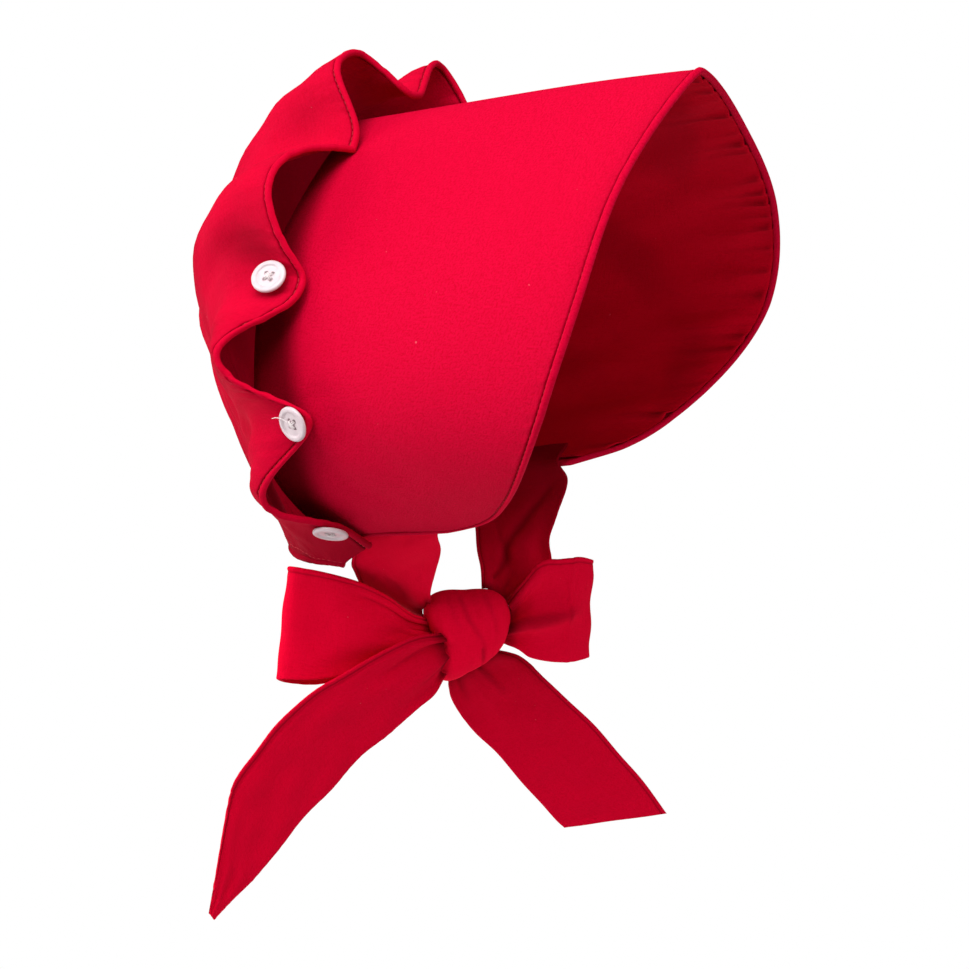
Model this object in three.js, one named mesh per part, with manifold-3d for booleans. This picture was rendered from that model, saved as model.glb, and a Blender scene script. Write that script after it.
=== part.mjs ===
// A cloth bonnet: a wide stiff brim with its lining, a soft crown whose wavy front hem
// touches the brim at regular places, white buttons there, and wide ties in a bow.
// Millimetres. +X is the wearer's left, -Y is the front, +Z is up.
// The origin is the place inside the top where the head touches.
import * as THREE from 'three';
import { mergeVertices } from 'three/addons/utils/BufferGeometryUtils.js';
import ManifoldModule from 'manifold-3d';

// Brim, measured on its outer face. Widths and heights are those of the arch at the seam plane;
// each "flare" is the change for every millimetre forward.
const BRIM_HALF_WIDTH = 103.9;
const BRIM_WIDTH_FLARE = 0.152;
const BRIM_RISE = 120;
const BRIM_RISE_FLARE = 0.092;
const BRIM_DROP = 92.2;
const BRIM_DROP_FLARE = -0.1;
const BRIM_AXIS_HEIGHT = -118;
const BRIM_AXIS_CLIMB = 0.115;
const BRIM_CORNER_POWER = 0.66;
const BRIM_HALF_SWEEP = 145.9;
const BRIM_DEPTH = 173.9;
const BRIM_WALL = 1.3;
const BRIM_ROLL_SWELL = 0.9;
const BRIM_COLUMNS = 44;
const BRIM_ROWS = 6;

// Lining, inside the brim.
const LINING_WALL = 1;
const LINING_GAP = 0.5;
const LINING_INSET = 2.5;
const LINING_END_ANGLE = 1;
const LINING_ROWS = 4;

// Crown.
const CROWN_WALL = 1.2;
const CROWN_ROLL_SWELL = 0.6;
const CROWN_DEPTH = 92;
const TOUCH_DEPTH = 31;
const FOLD_HEIGHT = 44;
const FOLD_SETBACK = 29;
const FOLD_FADE = 2.3;
const FOLD_SOFTENING = 3;
const SOFT_FOLD_SHARPNESS = 1;
const FOLD_COLUMNS = 11;
const CROWN_ROWS = 14;
const CROWN_ROW_SPREAD = 1.15;
const NAPE_HALF_WIDTH = 58;
const NAPE_BACK = 54;
const NAPE_FRONT = -15;
const NAPE_HEIGHT = -212;
const NAPE_CORNER_RISE = 5.5;
const NAPE_CORNER_SHARPNESS = 8;
const NAPE_GATHER_DEPTH = 2.2;
const NAPE_GATHER_FADE = 3;
const NAPE_GATHERS = 20;

// Buttons.
const BUTTON_DIAMETER = 17;
const BUTTON_THICKNESS = 2.2;
const BUTTON_HOLE_DIAMETER = 1.9;
const BUTTON_HOLE_CIRCLE = 4.6;
const BUTTON_HOLES = 4;
const BUTTON_LIFT = 0.5;
const BUTTON_FACETS = 20;
const HOLE_FACETS = 8;
const SEARCH_STEPS = 20;
const SEARCH_PLACE_STEP = 0.015;
const SEARCH_SHARE_STEP = 0.006;

// Ties and bow. Bow tables are measured from the middle of the knot, in tie widths.
const TIE_WIDTH = 50;
const TIE_WALL = 1.4;
const TIE_COLUMNS = 8;
const TIE_PLEATS = 2;
const STRAP_INSET = 4.35;
const STRAP_BACK = 24;
const STRAP_SEWN_WIDTH = 46;
const STRAP_OVERLAP_ANGLE = 7;
const BOW_TURN = 46;
const KNOT_FRONT = 50;
const KNOT_HEIGHT = -254.6;
const KNOT_WIDTH = 39;
const KNOT_THICKNESS = 26;
const KNOT_ROUNDING = 0.6;
const KNOT_GAP = 0.55;
const KNOT_CREASE_DEPTH = 0.9;
const KNOT_CREASE_SPACING = 14;
const KNOT_CREASE_SLANT = 0.5;
const KNOT_COLUMNS = 28;
const KNOT_ROWS = 8;

// Thickening of the brim's outer layer beside its front edge, and the dip under its stitching.
const BRIM_ROLL = [
  { inset: 0, swell: 0.36 },
  { inset: 2.3, swell: BRIM_ROLL_SWELL },
  { inset: 4.6, swell: -0.3 },
  { inset: 6.9, swell: 0 },
];

// Depth of the brim's front edge, as a share of BRIM_DEPTH, from the top (0) to the ends (1),
// and the reach of its hidden back edge behind the seam plane, as a share of TOUCH_DEPTH.
const BRIM_EDGES = [
  { around: 0, front: 0.99, back: 0.3 },
  { around: 0.2, front: 0.96, back: 0.35 },
  { around: 0.4, front: 0.95, back: 0.4 },
  { around: 0.6, front: 0.9, back: 0.25 },
  { around: 0.75, front: 0.82, back: 0.1 },
  { around: 0.88, front: 0.7, back: -0.15 },
  { around: 0.96, front: 0.58, back: -0.3 },
  { around: 1, front: 0.42, back: -0.3 },
];

// Where the crown's hem touches the brim: angle from the top in degrees (minus is the wearer's
// right), depth as a share of TOUCH_DEPTH, lift off the brim in millimetres.
const TOUCHES = [
  { angle: -148, depth: 0.99, lift: 3.5 },
  { angle: -93.2, depth: 0.96, lift: 1.5 },
  { angle: -52.1, depth: 0.46, lift: 3.5 },
  { angle: -16.3, depth: 0.24, lift: 1.5 },
  { angle: 12.9, depth: 0.26, lift: 16.6 },
  { angle: 45, depth: 1, lift: 8 },
  { angle: 93.2, depth: 0.96, lift: 1.5 },
  { angle: 148, depth: 0.99, lift: 3.5 },
];

// The folds between them: height and setback as shares of FOLD_HEIGHT and FOLD_SETBACK,
// lean (1 is even), sharpness (more is narrower).
const FOLDS = [
  { height: 0.43, setback: 0.8, lean: 1.6, sharpness: 1.38 },
  { height: 0.6, setback: 1, lean: 0.77, sharpness: 1.46 },
  { height: 0.68, setback: 0.41, lean: 0.94, sharpness: 0.45 },
  { height: 0.51, setback: 0.55, lean: 1.28, sharpness: 1.21 },
  { height: 1, setback: 0.6, lean: 1.03, sharpness: 0.92 },
  { height: 0.6, setback: 1, lean: 1.25, sharpness: 1.46 },
  { height: 0.43, setback: 0.8, lean: 0.7, sharpness: 1.38 },
];

// The crown's plain form, from the top (0) to the ends (1), in shares of CROWN_DEPTH: "run" is
// how far a strip heads straight back from the seam and "puff" how far it heads outward there;
// "round" is how far behind and "above" how far over the nape it comes down.
const CROWN_FORM = [
  { around: 0, run: 0.4, puff: 0.1, round: 1.33, above: 1.5 },
  { around: 0.3, run: 0.71, puff: 0.16, round: 0.61, above: 1.36 },
  { around: 0.55, run: 0.32, puff: 0.19, round: 0.45, above: 1.15 },
  { around: 0.75, run: 0.32, puff: 0.12, round: 0.51, above: 0.54 },
  { around: 0.9, run: 0.12, puff: 0.05, round: 0.27, above: 0.24 },
  { around: 1, run: 0.05, puff: 0.05, round: 0.04, above: 0.02 },
];

// Half outline of a button from the middle of its underside round to the middle of its top,
// as shares of its radius and its thickness.
const BUTTON_OUTLINE = [
  { radius: 0, height: 0 },
  { radius: 0.85, height: 0 },
  { radius: 1, height: 0.4 },
  { radius: 0.95, height: 1 },
  { radius: 0.78, height: 1 },
  { radius: 0.69, height: 0.68 },
  { radius: 0, height: 0.68 },
];

// Where the buttons are sewn: place in folds along the hem from the wearer's right, distance
// behind the hem in millimetres, and how far each hangs tilted back in degrees.
const BUTTONS = [
  { name: 'button_upper_right', place: 1.92, behind: 17, tilt: 0 },
  { name: 'button_middle_right', place: 1, behind: 5, tilt: 36 },
  { name: 'button_lower_right', place: 0.3, behind: 5, tilt: 8 },
  { name: 'button_upper_left', place: 5.08, behind: 17, tilt: 0 },
  { name: 'button_middle_left', place: 5.94, behind: 12, tilt: 0 },
  { name: 'button_lower_left', place: 6.74, behind: 14, tilt: 0 },
];

// Outline of the knot, seen from the front of the bow: angle from the right, and reach from
// its middle as a share of KNOT_WIDTH.
const KNOT_OUTLINE = [
  { angle: 0, reach: 0.52 },
  { angle: 45, reach: 0.69 },
  { angle: 90, reach: 0.62 },
  { angle: 135, reach: 0.73 },
  { angle: 180, reach: 0.41 },
  { angle: 236, reach: 0.63 },
  { angle: 270, reach: 0.45 },
  { angle: 315, reach: 0.42 },
  { angle: 360, reach: 0.52 },
];

// Ribbon tables: each row is one section across the ribbon, from its first edge (x1 across,
// z1 up, y1 toward the front of the bow) to its second edge, and how deep it is pleated.
const STRAP_RIGHT = [
  { x1: -1.18, z1: 0.92, y1: 0.08, x2: -0.57, z2: 1.39, y2: 1.02, pleat: 0 },
  { x1: -1.14, z1: 0.8, y1: -0.02, x2: -0.49, z2: 1.19, y2: 0.84, pleat: 0 },
  { x1: -0.96, z1: 0.49, y1: -0.26, x2: -0.46, z2: 0.88, y2: 0.54, pleat: 0.01 },
  { x1: -0.7, z1: 0.28, y1: -0.3, x2: -0.44, z2: 0.6, y2: 0.28, pleat: 0.01 },
  { x1: -0.47, z1: 0.16, y1: -0.18, x2: -0.39, z2: 0.43, y2: 0.08, pleat: 0.01, knot: true },
];
const STRAP_LEFT = [
  { x1: 0.4, z1: 1.06, y1: -1.14, x2: 1.23, z2: 1.36, y2: -0.58, pleat: 0 },
  { x1: 0.37, z1: 0.82, y1: -0.96, x2: 1.09, z2: 1.02, y2: -0.5, pleat: 0.01 },
  { x1: 0.3, z1: 0.68, y1: -0.66, x2: 0.99, z2: 0.8, y2: -0.42, pleat: 0.02 },
  { x1: 0.25, z1: 0.59, y1: -0.36, x2: 0.97, z2: 0.47, y2: -0.38, pleat: 0.02 },
  { x1: 0.2, z1: 0.5, y1: -0.1, x2: 0.6, z2: 0.2, y2: -0.22, pleat: 0.02, knot: true },
];
const LOOP_RIGHT = [
  { x1: -0.52, z1: 0.3, y1: 0.04, x2: -0.38, z2: -0.28, y2: 0.04, pleat: 0.03, knot: true },
  { x1: -0.62, z1: 0.34, y1: 0.09, x2: -0.56, z2: -0.18, y2: 0.09, pleat: 0.03 },
  { x1: -0.85, z1: 0.55, y1: 0.14, x2: -0.86, z2: -0.19, y2: 0.14, pleat: 0.02 },
  { x1: -1.1, z1: 0.71, y1: 0.16, x2: -1.19, z2: -0.21, y2: 0.16, pleat: 0.01 },
  { x1: -1.42, z1: 0.83, y1: 0.14, x2: -1.55, z2: -0.25, y2: 0.14, pleat: 0 },
  { x1: -1.72, z1: 0.9, y1: 0.08, x2: -1.84, z2: -0.24, y2: 0.08, pleat: 0 },
  { x1: -1.78, z1: 0.89, y1: 0, x2: -1.92, z2: -0.26, y2: 0, pleat: 0 },
  { x1: -1.69, z1: 0.82, y1: -0.08, x2: -1.81, z2: -0.33, y2: -0.08, pleat: 0 },
  { x1: -1.36, z1: 0.71, y1: -0.14, x2: -1.48, z2: -0.4, y2: -0.14, pleat: 0 },
  { x1: -1.02, z1: 0.55, y1: -0.16, x2: -1.11, z2: -0.36, y2: -0.16, pleat: 0.01 },
  { x1: -0.78, z1: 0.41, y1: -0.14, x2: -0.79, z2: -0.3, y2: -0.14, pleat: 0.02 },
  { x1: -0.58, z1: 0.27, y1: -0.09, x2: -0.53, z2: -0.25, y2: -0.09, pleat: 0.03 },
  { x1: -0.47, z1: 0.23, y1: -0.04, x2: -0.37, z2: -0.28, y2: -0.04, pleat: 0.03, knot: true },
];
const LOOP_LEFT = [
  { x1: 0.47, z1: 0.39, y1: 0.05, x2: 0.45, z2: -0.1, y2: 0.05, pleat: 0.03, knot: true },
  { x1: 0.57, z1: 0.56, y1: 0.09, x2: 0.51, z2: -0.15, y2: 0.09, pleat: 0.03 },
  { x1: 0.73, z1: 0.76, y1: 0.14, x2: 0.62, z2: -0.23, y2: 0.14, pleat: 0.02 },
  { x1: 0.94, z1: 0.77, y1: 0.14, x2: 0.86, z2: -0.3, y2: 0.14, pleat: 0 },
  { x1: 1.15, z1: 0.76, y1: 0.1, x2: 1.09, z2: -0.33, y2: 0.1, pleat: 0 },
  { x1: 1.3, z1: 0.69, y1: 0, x2: 1.27, z2: -0.34, y2: 0, pleat: 0 },
  { x1: 1.23, z1: 0.67, y1: -0.1, x2: 1.19, z2: -0.39, y2: -0.1, pleat: 0 },
  { x1: 1.04, z1: 0.66, y1: -0.14, x2: 0.97, z2: -0.39, y2: -0.14, pleat: 0 },
  { x1: 0.84, z1: 0.64, y1: -0.14, x2: 0.73, z2: -0.33, y2: -0.14, pleat: 0.02 },
  { x1: 0.63, z1: 0.5, y1: -0.09, x2: 0.56, z2: -0.21, y2: -0.09, pleat: 0.03 },
  { x1: 0.49, z1: 0.35, y1: -0.05, x2: 0.45, z2: -0.12, y2: -0.05, pleat: 0.03, knot: true },
];
const TAIL_RIGHT = [
  { x1: -0.43, z1: 0.17, y1: 0.2, x2: -0.32, z2: -0.36, y2: 0.2, pleat: 0.02, knot: true },
  { x1: -0.61, z1: 0.16, y1: 0.3, x2: -0.39, z2: -0.47, y2: 0.26, pleat: 0.02 },
  { x1: -0.98, z1: 0.04, y1: 0.34, x2: -0.56, z2: -0.59, y2: 0.28, pleat: 0.01 },
  { x1: -1.32, z1: -0.12, y1: 0.36, x2: -0.88, z2: -0.85, y2: 0.26, pleat: 0 },
  { x1: -1.65, z1: -0.29, y1: 0.36, x2: -1.16, z2: -1.06, y2: 0.24, pleat: 0 },
  { x1: -1.99, z1: -0.57, y1: 0.34, x2: -1.46, z2: -1.39, y2: 0.22, pleat: 0 },
  { x1: -2.22, z1: -0.86, y1: 0.32, x2: -1.74, z2: -1.65, y2: 0.22, pleat: 0 },
  { x1: -2.42, z1: -1.13, y1: 0.3, x2: -2.02, z2: -1.99, y2: 0.22, pleat: 0 },
  { x1: -2.49, z1: -1.35, y1: 0.28, x2: -2.25, z2: -2.24, y2: 0.22, pleat: 0 },
  { x1: -2.61, z1: -2, y1: 0.26, x2: -2.47, z2: -2.43, y2: 0.23, pleat: 0 },
  { x1: -2.7, z1: -2.54, y1: 0.24, x2: -2.66, z2: -2.61, y2: 0.24, pleat: 0 },
];
const TAIL_LEFT = [
  { x1: 0.33, z1: -0.22, y1: -0.12, x2: -0.2, z2: -0.52, y2: -0.12, pleat: 0.02, knot: true },
  { x1: 0.62, z1: -0.33, y1: -0.21, x2: -0.1, z2: -0.71, y2: -0.18, pleat: 0.02 },
  { x1: 0.89, z1: -0.6, y1: -0.22, x2: 0.11, z2: -1.05, y2: -0.18, pleat: 0.01 },
  { x1: 1.15, z1: -0.87, y1: -0.2, x2: 0.37, z2: -1.33, y2: -0.16, pleat: 0 },
  { x1: 1.41, z1: -1.14, y1: -0.16, x2: 0.62, z2: -1.66, y2: -0.14, pleat: 0 },
  { x1: 1.66, z1: -1.46, y1: -0.12, x2: 0.82, z2: -1.9, y2: -0.12, pleat: 0 },
  { x1: 1.91, z1: -1.77, y1: -0.08, x2: 0.98, z2: -2.1, y2: -0.1, pleat: 0 },
  { x1: 2.15, z1: -2.13, y1: -0.04, x2: 1.06, z2: -2.18, y2: -0.08, pleat: 0 },
];

const CLOTH = { color: 0xc8102e, roughness: 0.85, metalness: 0 };
const LINING_CLOTH = { color: 0xa80d26, roughness: 0.88, metalness: 0 };
const BUTTON_FINISH = { color: 0xf4f2ee, roughness: 0.3, metalness: 0 };

const DEGREE = Math.PI / 180;
const UP = new THREE.Vector3(0, 0, 1);
const BACKWARD = new THREE.Vector3(0, 1, 0);

/** Value of one column of a table at a place between its rows, along a smooth curve. */
function fromTable(table, key, column, at) {
  const last = table.length - 1;
  const place = Math.min(Math.max(at, table[0][key]), table[last][key]);
  let row = 0;
  while (row < last - 1 && place > table[row + 1][key]) row += 1;
  const slope = (index) => {
    const before = table[Math.max(index - 1, 0)];
    const after = table[Math.min(index + 1, last)];
    return (after[column] - before[column]) / (after[key] - before[key]);
  };
  const gap = table[row + 1][key] - table[row][key];
  const share = (place - table[row][key]) / gap;
  const rest = 1 - share;
  const start = table[row][column] * (1 + 2 * share) + slope(row) * gap * share;
  const end = table[row + 1][column] * (1 + 2 * rest) - slope(row + 1) * gap * rest;
  return start * rest * rest + end * share * share;
}

/** Point on the brim's outer face: angle from the top in degrees, depth forward of the seam. */
function brimPoint(angle, depth) {
  const turn = angle * DEGREE;
  const halfWidth = BRIM_HALF_WIDTH + BRIM_WIDTH_FLARE * depth;
  const rise = BRIM_RISE + BRIM_RISE_FLARE * depth;
  const drop = BRIM_DROP + BRIM_DROP_FLARE * depth;
  const axis = BRIM_AXIS_HEIGHT + BRIM_AXIS_CLIMB * depth;
  const upper = rise * (1 - (1 - Math.cos(turn)) ** BRIM_CORNER_POWER);
  const height = Math.abs(angle) < 90 ? upper : drop * Math.cos(turn);
  return new THREE.Vector3(halfWidth * Math.sin(turn), -depth, axis + height);
}

/** Outward direction of the brim's outer face. */
function brimNormal(angle, depth) {
  const step = 0.5;
  const around = brimPoint(angle + step, depth).sub(brimPoint(angle - step, depth));
  const forward = brimPoint(angle, depth + step).sub(brimPoint(angle, depth - step));
  return forward.cross(around).normalize();
}

/** Point off the brim's outer face, outward by `lift`. */
function offBrim(angle, depth, lift) {
  return brimPoint(angle, depth).addScaledVector(brimNormal(angle, depth), lift);
}

/** Solid of a sheet of cloth from a grid of middle points and the wall at each of them. */
function clothSolid(middle, walls) {
  const columns = middle.length;
  const rows = middle[0].length;
  const clampColumn = (i) => Math.min(Math.max(i, 0), columns - 1);
  const clampRow = (j) => Math.min(Math.max(j, 0), rows - 1);
  const along = (i, j) => middle[clampColumn(i + 1)][j].clone().sub(middle[clampColumn(i - 1)][j]);
  const across = (i, j) => middle[i][clampRow(j + 1)].clone().sub(middle[i][clampRow(j - 1)]);
  const points = [];
  for (const side of [1, -1]) {
    for (let i = 0; i < columns; i += 1) {
      for (let j = 0; j < rows; j += 1) {
        const normal = along(i, j).cross(across(i, j)).normalize();
        points.push(middle[i][j].clone().addScaledVector(normal, (side * walls[i][j]) / 2));
      }
    }
  }
  const face = (i, j) => i * rows + j;
  const back = (i, j) => columns * rows + i * rows + j;
  const triangles = [];
  for (let i = 0; i < columns - 1; i += 1) {
    for (let j = 0; j < rows - 1; j += 1) {
      triangles.push([face(i, j), face(i + 1, j), face(i + 1, j + 1)]);
      triangles.push([face(i, j), face(i + 1, j + 1), face(i, j + 1)]);
      triangles.push([back(i, j), back(i + 1, j + 1), back(i + 1, j)]);
      triangles.push([back(i, j), back(i, j + 1), back(i + 1, j + 1)]);
    }
  }
  const rim = [];
  for (let i = 0; i < columns - 1; i += 1) rim.push([i, 0]);
  for (let j = 0; j < rows - 1; j += 1) rim.push([columns - 1, j]);
  for (let i = columns - 1; i > 0; i -= 1) rim.push([i, rows - 1]);
  for (let j = rows - 1; j > 0; j -= 1) rim.push([0, j]);
  rim.forEach(([i, j], index) => {
    const [nextI, nextJ] = rim[(index + 1) % rim.length];
    triangles.push([face(i, j), back(i, j), face(nextI, nextJ)]);
    triangles.push([face(nextI, nextJ), back(i, j), back(nextI, nextJ)]);
  });
  return solidFrom(points, triangles);
}

/** Geometry of a closed solid, turned so that its faces look outward. */
function solidFrom(points, triangles) {
  let volume = 0;
  for (const [a, b, c] of triangles) volume += points[a].dot(points[b].clone().cross(points[c]));
  const order = volume < 0 ? ([a, b, c]) => [a, c, b] : (corners) => corners;
  const geometry = new THREE.BufferGeometry();
  const coordinates = points.flatMap((point) => point.toArray());
  geometry.setAttribute('position', new THREE.Float32BufferAttribute(coordinates, 3));
  geometry.setIndex(triangles.flatMap(order));
  geometry.computeVertexNormals();
  return geometry;
}

/** Rows of shares from 0 to 1; a spread over 1 puts them closer together near 0. */
function easedShares(count, spread) {
  return Array.from({ length: count + 1 }, (_, index) => (index / count) ** spread);
}

/** The brim's outer layer: rolled at its front edge, with a dip along the stitching. */
function buildBrim() {
  const insets = BRIM_ROLL.map((row) => row.inset);
  const swells = BRIM_ROLL.map((row) => row.swell);
  const inner = easedShares(BRIM_ROWS, 1).slice(1);
  const middle = [];
  const walls = [];
  for (let i = 0; i <= BRIM_COLUMNS; i += 1) {
    const around = (2 * i) / BRIM_COLUMNS - 1;
    const angle = around * BRIM_HALF_SWEEP;
    const front = fromTable(BRIM_EDGES, 'around', 'front', Math.abs(around)) * BRIM_DEPTH;
    const back = -fromTable(BRIM_EDGES, 'around', 'back', Math.abs(around)) * TOUCH_DEPTH;
    const start = front - insets.at(-1);
    const depths = insets.map((inset) => front - inset);
    const extra = inner.map((share) => start + (back - start) * share);
    const swell = swells.concat(inner.map(() => 0));
    middle.push(depths.concat(extra).map((depth) => offBrim(angle, depth, -BRIM_WALL / 2)));
    walls.push(swell.map((value) => BRIM_WALL + value));
  }
  return clothSolid(middle, walls);
}

/** The brim's lining: a plain sheet just inside the outer layer. */
function buildLining() {
  const drop = BRIM_WALL + BRIM_ROLL_SWELL / 2 + LINING_GAP + LINING_WALL / 2;
  const shares = easedShares(LINING_ROWS, 1);
  const middle = [];
  for (let i = 0; i <= BRIM_COLUMNS; i += 1) {
    const around = (2 * i) / BRIM_COLUMNS - 1;
    const angle = around * (BRIM_HALF_SWEEP - LINING_END_ANGLE);
    const front = fromTable(BRIM_EDGES, 'around', 'front', Math.abs(around)) * BRIM_DEPTH - LINING_INSET;
    const back = -fromTable(BRIM_EDGES, 'around', 'back', Math.abs(around)) * TOUCH_DEPTH;
    middle.push(shares.map((share) => offBrim(angle, front + (back - front) * share, -drop)));
  }
  return clothSolid(middle, middle.map((row) => row.map(() => LINING_WALL)));
}

/**
 * Hem of the crown at `place`, counted in folds from the wearer's right: seam and hem point.
 * `softness`, from 0 at the hem to 1, brings every fold to the same even wave.
 */
function crownHem(place, softness) {
  const index = Math.min(Math.max(Math.floor(place), 0), FOLDS.length - 1);
  const share = Math.min(Math.max(place - index, 0), 1);
  const start = TOUCHES[index];
  const end = TOUCHES[index + 1];
  const fold = FOLDS[index];
  const between = (column) => start[column] + (end[column] - start[column]) * share;
  const sharpness = fold.sharpness + (SOFT_FOLD_SHARPNESS - fold.sharpness) * softness;
  const wave = Math.sin(Math.PI * share ** fold.lean) ** (2 * sharpness);
  const angle = between('angle');
  const depth = between('depth') * TOUCH_DEPTH;
  const lift = between('lift');
  const seam = offBrim(angle, depth, lift);
  const hemDepth = depth - fold.setback * FOLD_SETBACK * wave;
  const rise = brimNormal(angle, depth).multiplyScalar(lift + fold.height * FOLD_HEIGHT * wave);
  const hem = brimPoint(angle, hemDepth).add(rise);
  return { angle, seam, hem, normal: brimNormal(angle, depth) };
}

/** Middle surface of the crown: `place` in folds along the hem, `share` from hem to nape. */
function crownPoint(place, share) {
  const { angle, seam, hem, normal } = crownHem(place, Math.min(share * FOLD_SOFTENING, 1));
  const around = Math.min(Math.abs(angle) / Math.abs(TOUCHES[0].angle), 1);
  const form = (column) => fromTable(CROWN_FORM, 'around', column, around) * CROWN_DEPTH;
  const turn = ((place / FOLDS.length) * 2 - 1) * 90 * DEGREE;
  const outward = new THREE.Vector3(Math.sin(turn), Math.cos(turn), 0);
  const nape = new THREE.Vector3(
    NAPE_HALF_WIDTH * Math.sin(turn),
    NAPE_FRONT + NAPE_BACK * Math.cos(turn),
    NAPE_HEIGHT + NAPE_CORNER_RISE * Math.sin(turn) ** NAPE_CORNER_SHARPNESS,
  );
  const leave = seam.clone().addScaledVector(BACKWARD, form('run')).addScaledVector(normal, form('puff'));
  const arrive = nape.clone().addScaledVector(UP, form('above')).addScaledVector(outward, form('round'));
  const rest = 1 - share;
  const fold = hem.clone().sub(seam).multiplyScalar(rest ** FOLD_FADE);
  const gatherDepth = NAPE_GATHER_DEPTH * share ** NAPE_GATHER_FADE * Math.cos(turn) ** 2;
  const gather = Math.cos(turn * NAPE_GATHERS * 2) * gatherDepth;
  return new THREE.Vector3()
    .addScaledVector(seam, rest ** 3)
    .addScaledVector(leave, 3 * rest * rest * share)
    .addScaledVector(arrive, 3 * rest * share * share)
    .addScaledVector(nape, share ** 3)
    .add(fold)
    .addScaledVector(outward, gather);
}

/** The crown: a hollow bag of cloth, open at its front hem and at the nape. */
function buildCrown() {
  const shares = easedShares(CROWN_ROWS, CROWN_ROW_SPREAD);
  const columns = FOLDS.length * FOLD_COLUMNS;
  const middle = [];
  for (let i = 0; i <= columns; i += 1) {
    middle.push(shares.map((share) => crownPoint(i / FOLD_COLUMNS, share)));
  }
  const walls = middle.map((row) => row.map((_, j) => CROWN_WALL + (j === 0 ? CROWN_ROLL_SWELL : 0)));
  return clothSolid(middle, walls);
}

/** The solid of a closed geometry, ready to be cut. */
function toManifold(wasm, geometry) {
  geometry.deleteAttribute('normal');
  geometry.deleteAttribute('uv');
  const merged = mergeVertices(geometry);
  const corners = [...merged.index.array];
  const triVerts = [];
  for (let i = 0; i < corners.length; i += 3) {
    const [a, b, c] = corners.slice(i, i + 3);
    if (a !== b && b !== c && c !== a) triVerts.push(a, b, c);
  }
  const mesh = new wasm.Mesh({
    numProp: 3,
    vertProperties: new Float32Array(merged.attributes.position.array),
    triVerts: new Uint32Array(triVerts),
  });
  return new wasm.Manifold(mesh);
}

/** A button with a raised rim and four holes, its underside at the origin, facing +Z. */
function buttonSolid(wasm) {
  const radius = BUTTON_DIAMETER / 2;
  const corner = (row) => new THREE.Vector2(row.radius * radius, row.height * BUTTON_THICKNESS);
  const disc = new THREE.LatheGeometry(BUTTON_OUTLINE.map(corner), BUTTON_FACETS).rotateX(90 * DEGREE);
  const hole = BUTTON_HOLE_DIAMETER / 2;
  const reach = BUTTON_HOLE_CIRCLE / 2;
  let solid = toManifold(wasm, disc);
  for (let index = 0; index < BUTTON_HOLES; index += 1) {
    const turn = ((index + 0.5) / BUTTON_HOLES) * 360 * DEGREE;
    const drill = new THREE.CylinderGeometry(hole, hole, BUTTON_THICKNESS * 3, HOLE_FACETS)
      .rotateX(90 * DEGREE)
      .translate(reach * Math.cos(turn), reach * Math.sin(turn), 0);
    solid = solid.subtract(toManifold(wasm, drill));
  }
  return solid.getMesh();
}

/** Geometry of a button lying on the crown where its row of the BUTTONS table says. */
function buildButton(button, { place, behind, tilt }) {
  let share = 0;
  while (crownPoint(place, share).distanceTo(crownPoint(place, 0)) < behind) share += SEARCH_SHARE_STEP / 3;
  const middle = crownPoint(place, share);
  const sideStep = SEARCH_PLACE_STEP * 3;
  const side = crownPoint(place + sideStep, share).sub(crownPoint(place - sideStep, share)).normalize();
  const backStep = SEARCH_SHARE_STEP;
  const back = crownPoint(place, share + backStep).sub(crownPoint(place, share - backStep));
  const facing = side.clone().cross(back).normalize();
  const axis = new THREE.Vector3(0, middle.y, BRIM_AXIS_HEIGHT);
  if (facing.dot(middle.clone().sub(axis)) < 0) facing.negate();
  const lean = facing.dot(side.clone().cross(back)) > 0 ? -tilt : tilt;
  facing.applyAxisAngle(side, lean * DEGREE);
  let top = 0;
  for (let i = -SEARCH_STEPS; i <= SEARCH_STEPS; i += 1) {
    for (let j = -SEARCH_STEPS; j <= SEARCH_STEPS; j += 1) {
      const nearShare = Math.max(share + j * SEARCH_SHARE_STEP, 0);
      const near = crownPoint(place + i * SEARCH_PLACE_STEP, nearShare).sub(middle);
      const height = near.dot(facing);
      const sideways = Math.sqrt(Math.max(near.lengthSq() - height * height, 0));
      if (sideways < BUTTON_DIAMETER / 2) top = Math.max(top, height);
    }
  }
  const turn = new THREE.Quaternion().setFromUnitVectors(UP, facing);
  const seat = middle.clone().addScaledVector(facing, top + CROWN_WALL / 2 + BUTTON_LIFT);
  const points = [];
  for (let i = 0; i < button.vertProperties.length; i += button.numProp) {
    const local = new THREE.Vector3().fromArray(button.vertProperties, i);
    points.push(local.applyQuaternion(turn).add(seat));
  }
  const triangles = [];
  for (let i = 0; i < button.triVerts.length; i += 3) triangles.push([...button.triVerts.slice(i, i + 3)]);
  return solidFrom(points, triangles);
}

/** Point of the bow: across, toward its front and up, in millimetres from the knot's middle. */
function bowPoint(across, toward, up) {
  const turn = BOW_TURN * DEGREE;
  return new THREE.Vector3(
    across * Math.cos(turn) - toward * Math.sin(turn),
    -KNOT_FRONT - across * Math.sin(turn) - toward * Math.cos(turn),
    KNOT_HEIGHT + up,
  );
}

/** Reach of the knot from its middle at an angle from the right, `toward` its front or back. */
function knotReach(angle, toward) {
  const outline = fromTable(KNOT_OUTLINE, 'angle', 'reach', (angle + 360) % 360) * KNOT_WIDTH;
  const lean = Math.acos(Math.min(Math.abs(toward) / (KNOT_THICKNESS / 2), 1));
  return outline * Math.sin(lean) ** KNOT_ROUNDING;
}

/** Point of a ribbon beside the knot, moved to lie just clear of the knot's side. */
function besideKnot({ x, y, z }) {
  const angle = Math.atan2(z, x);
  const depth = Math.max(Math.abs(y) - TIE_WALL / 2, 0);
  const reach = knotReach(angle / DEGREE, depth) + KNOT_GAP;
  return new THREE.Vector3(reach * Math.cos(angle), y, reach * Math.sin(angle));
}

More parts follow.
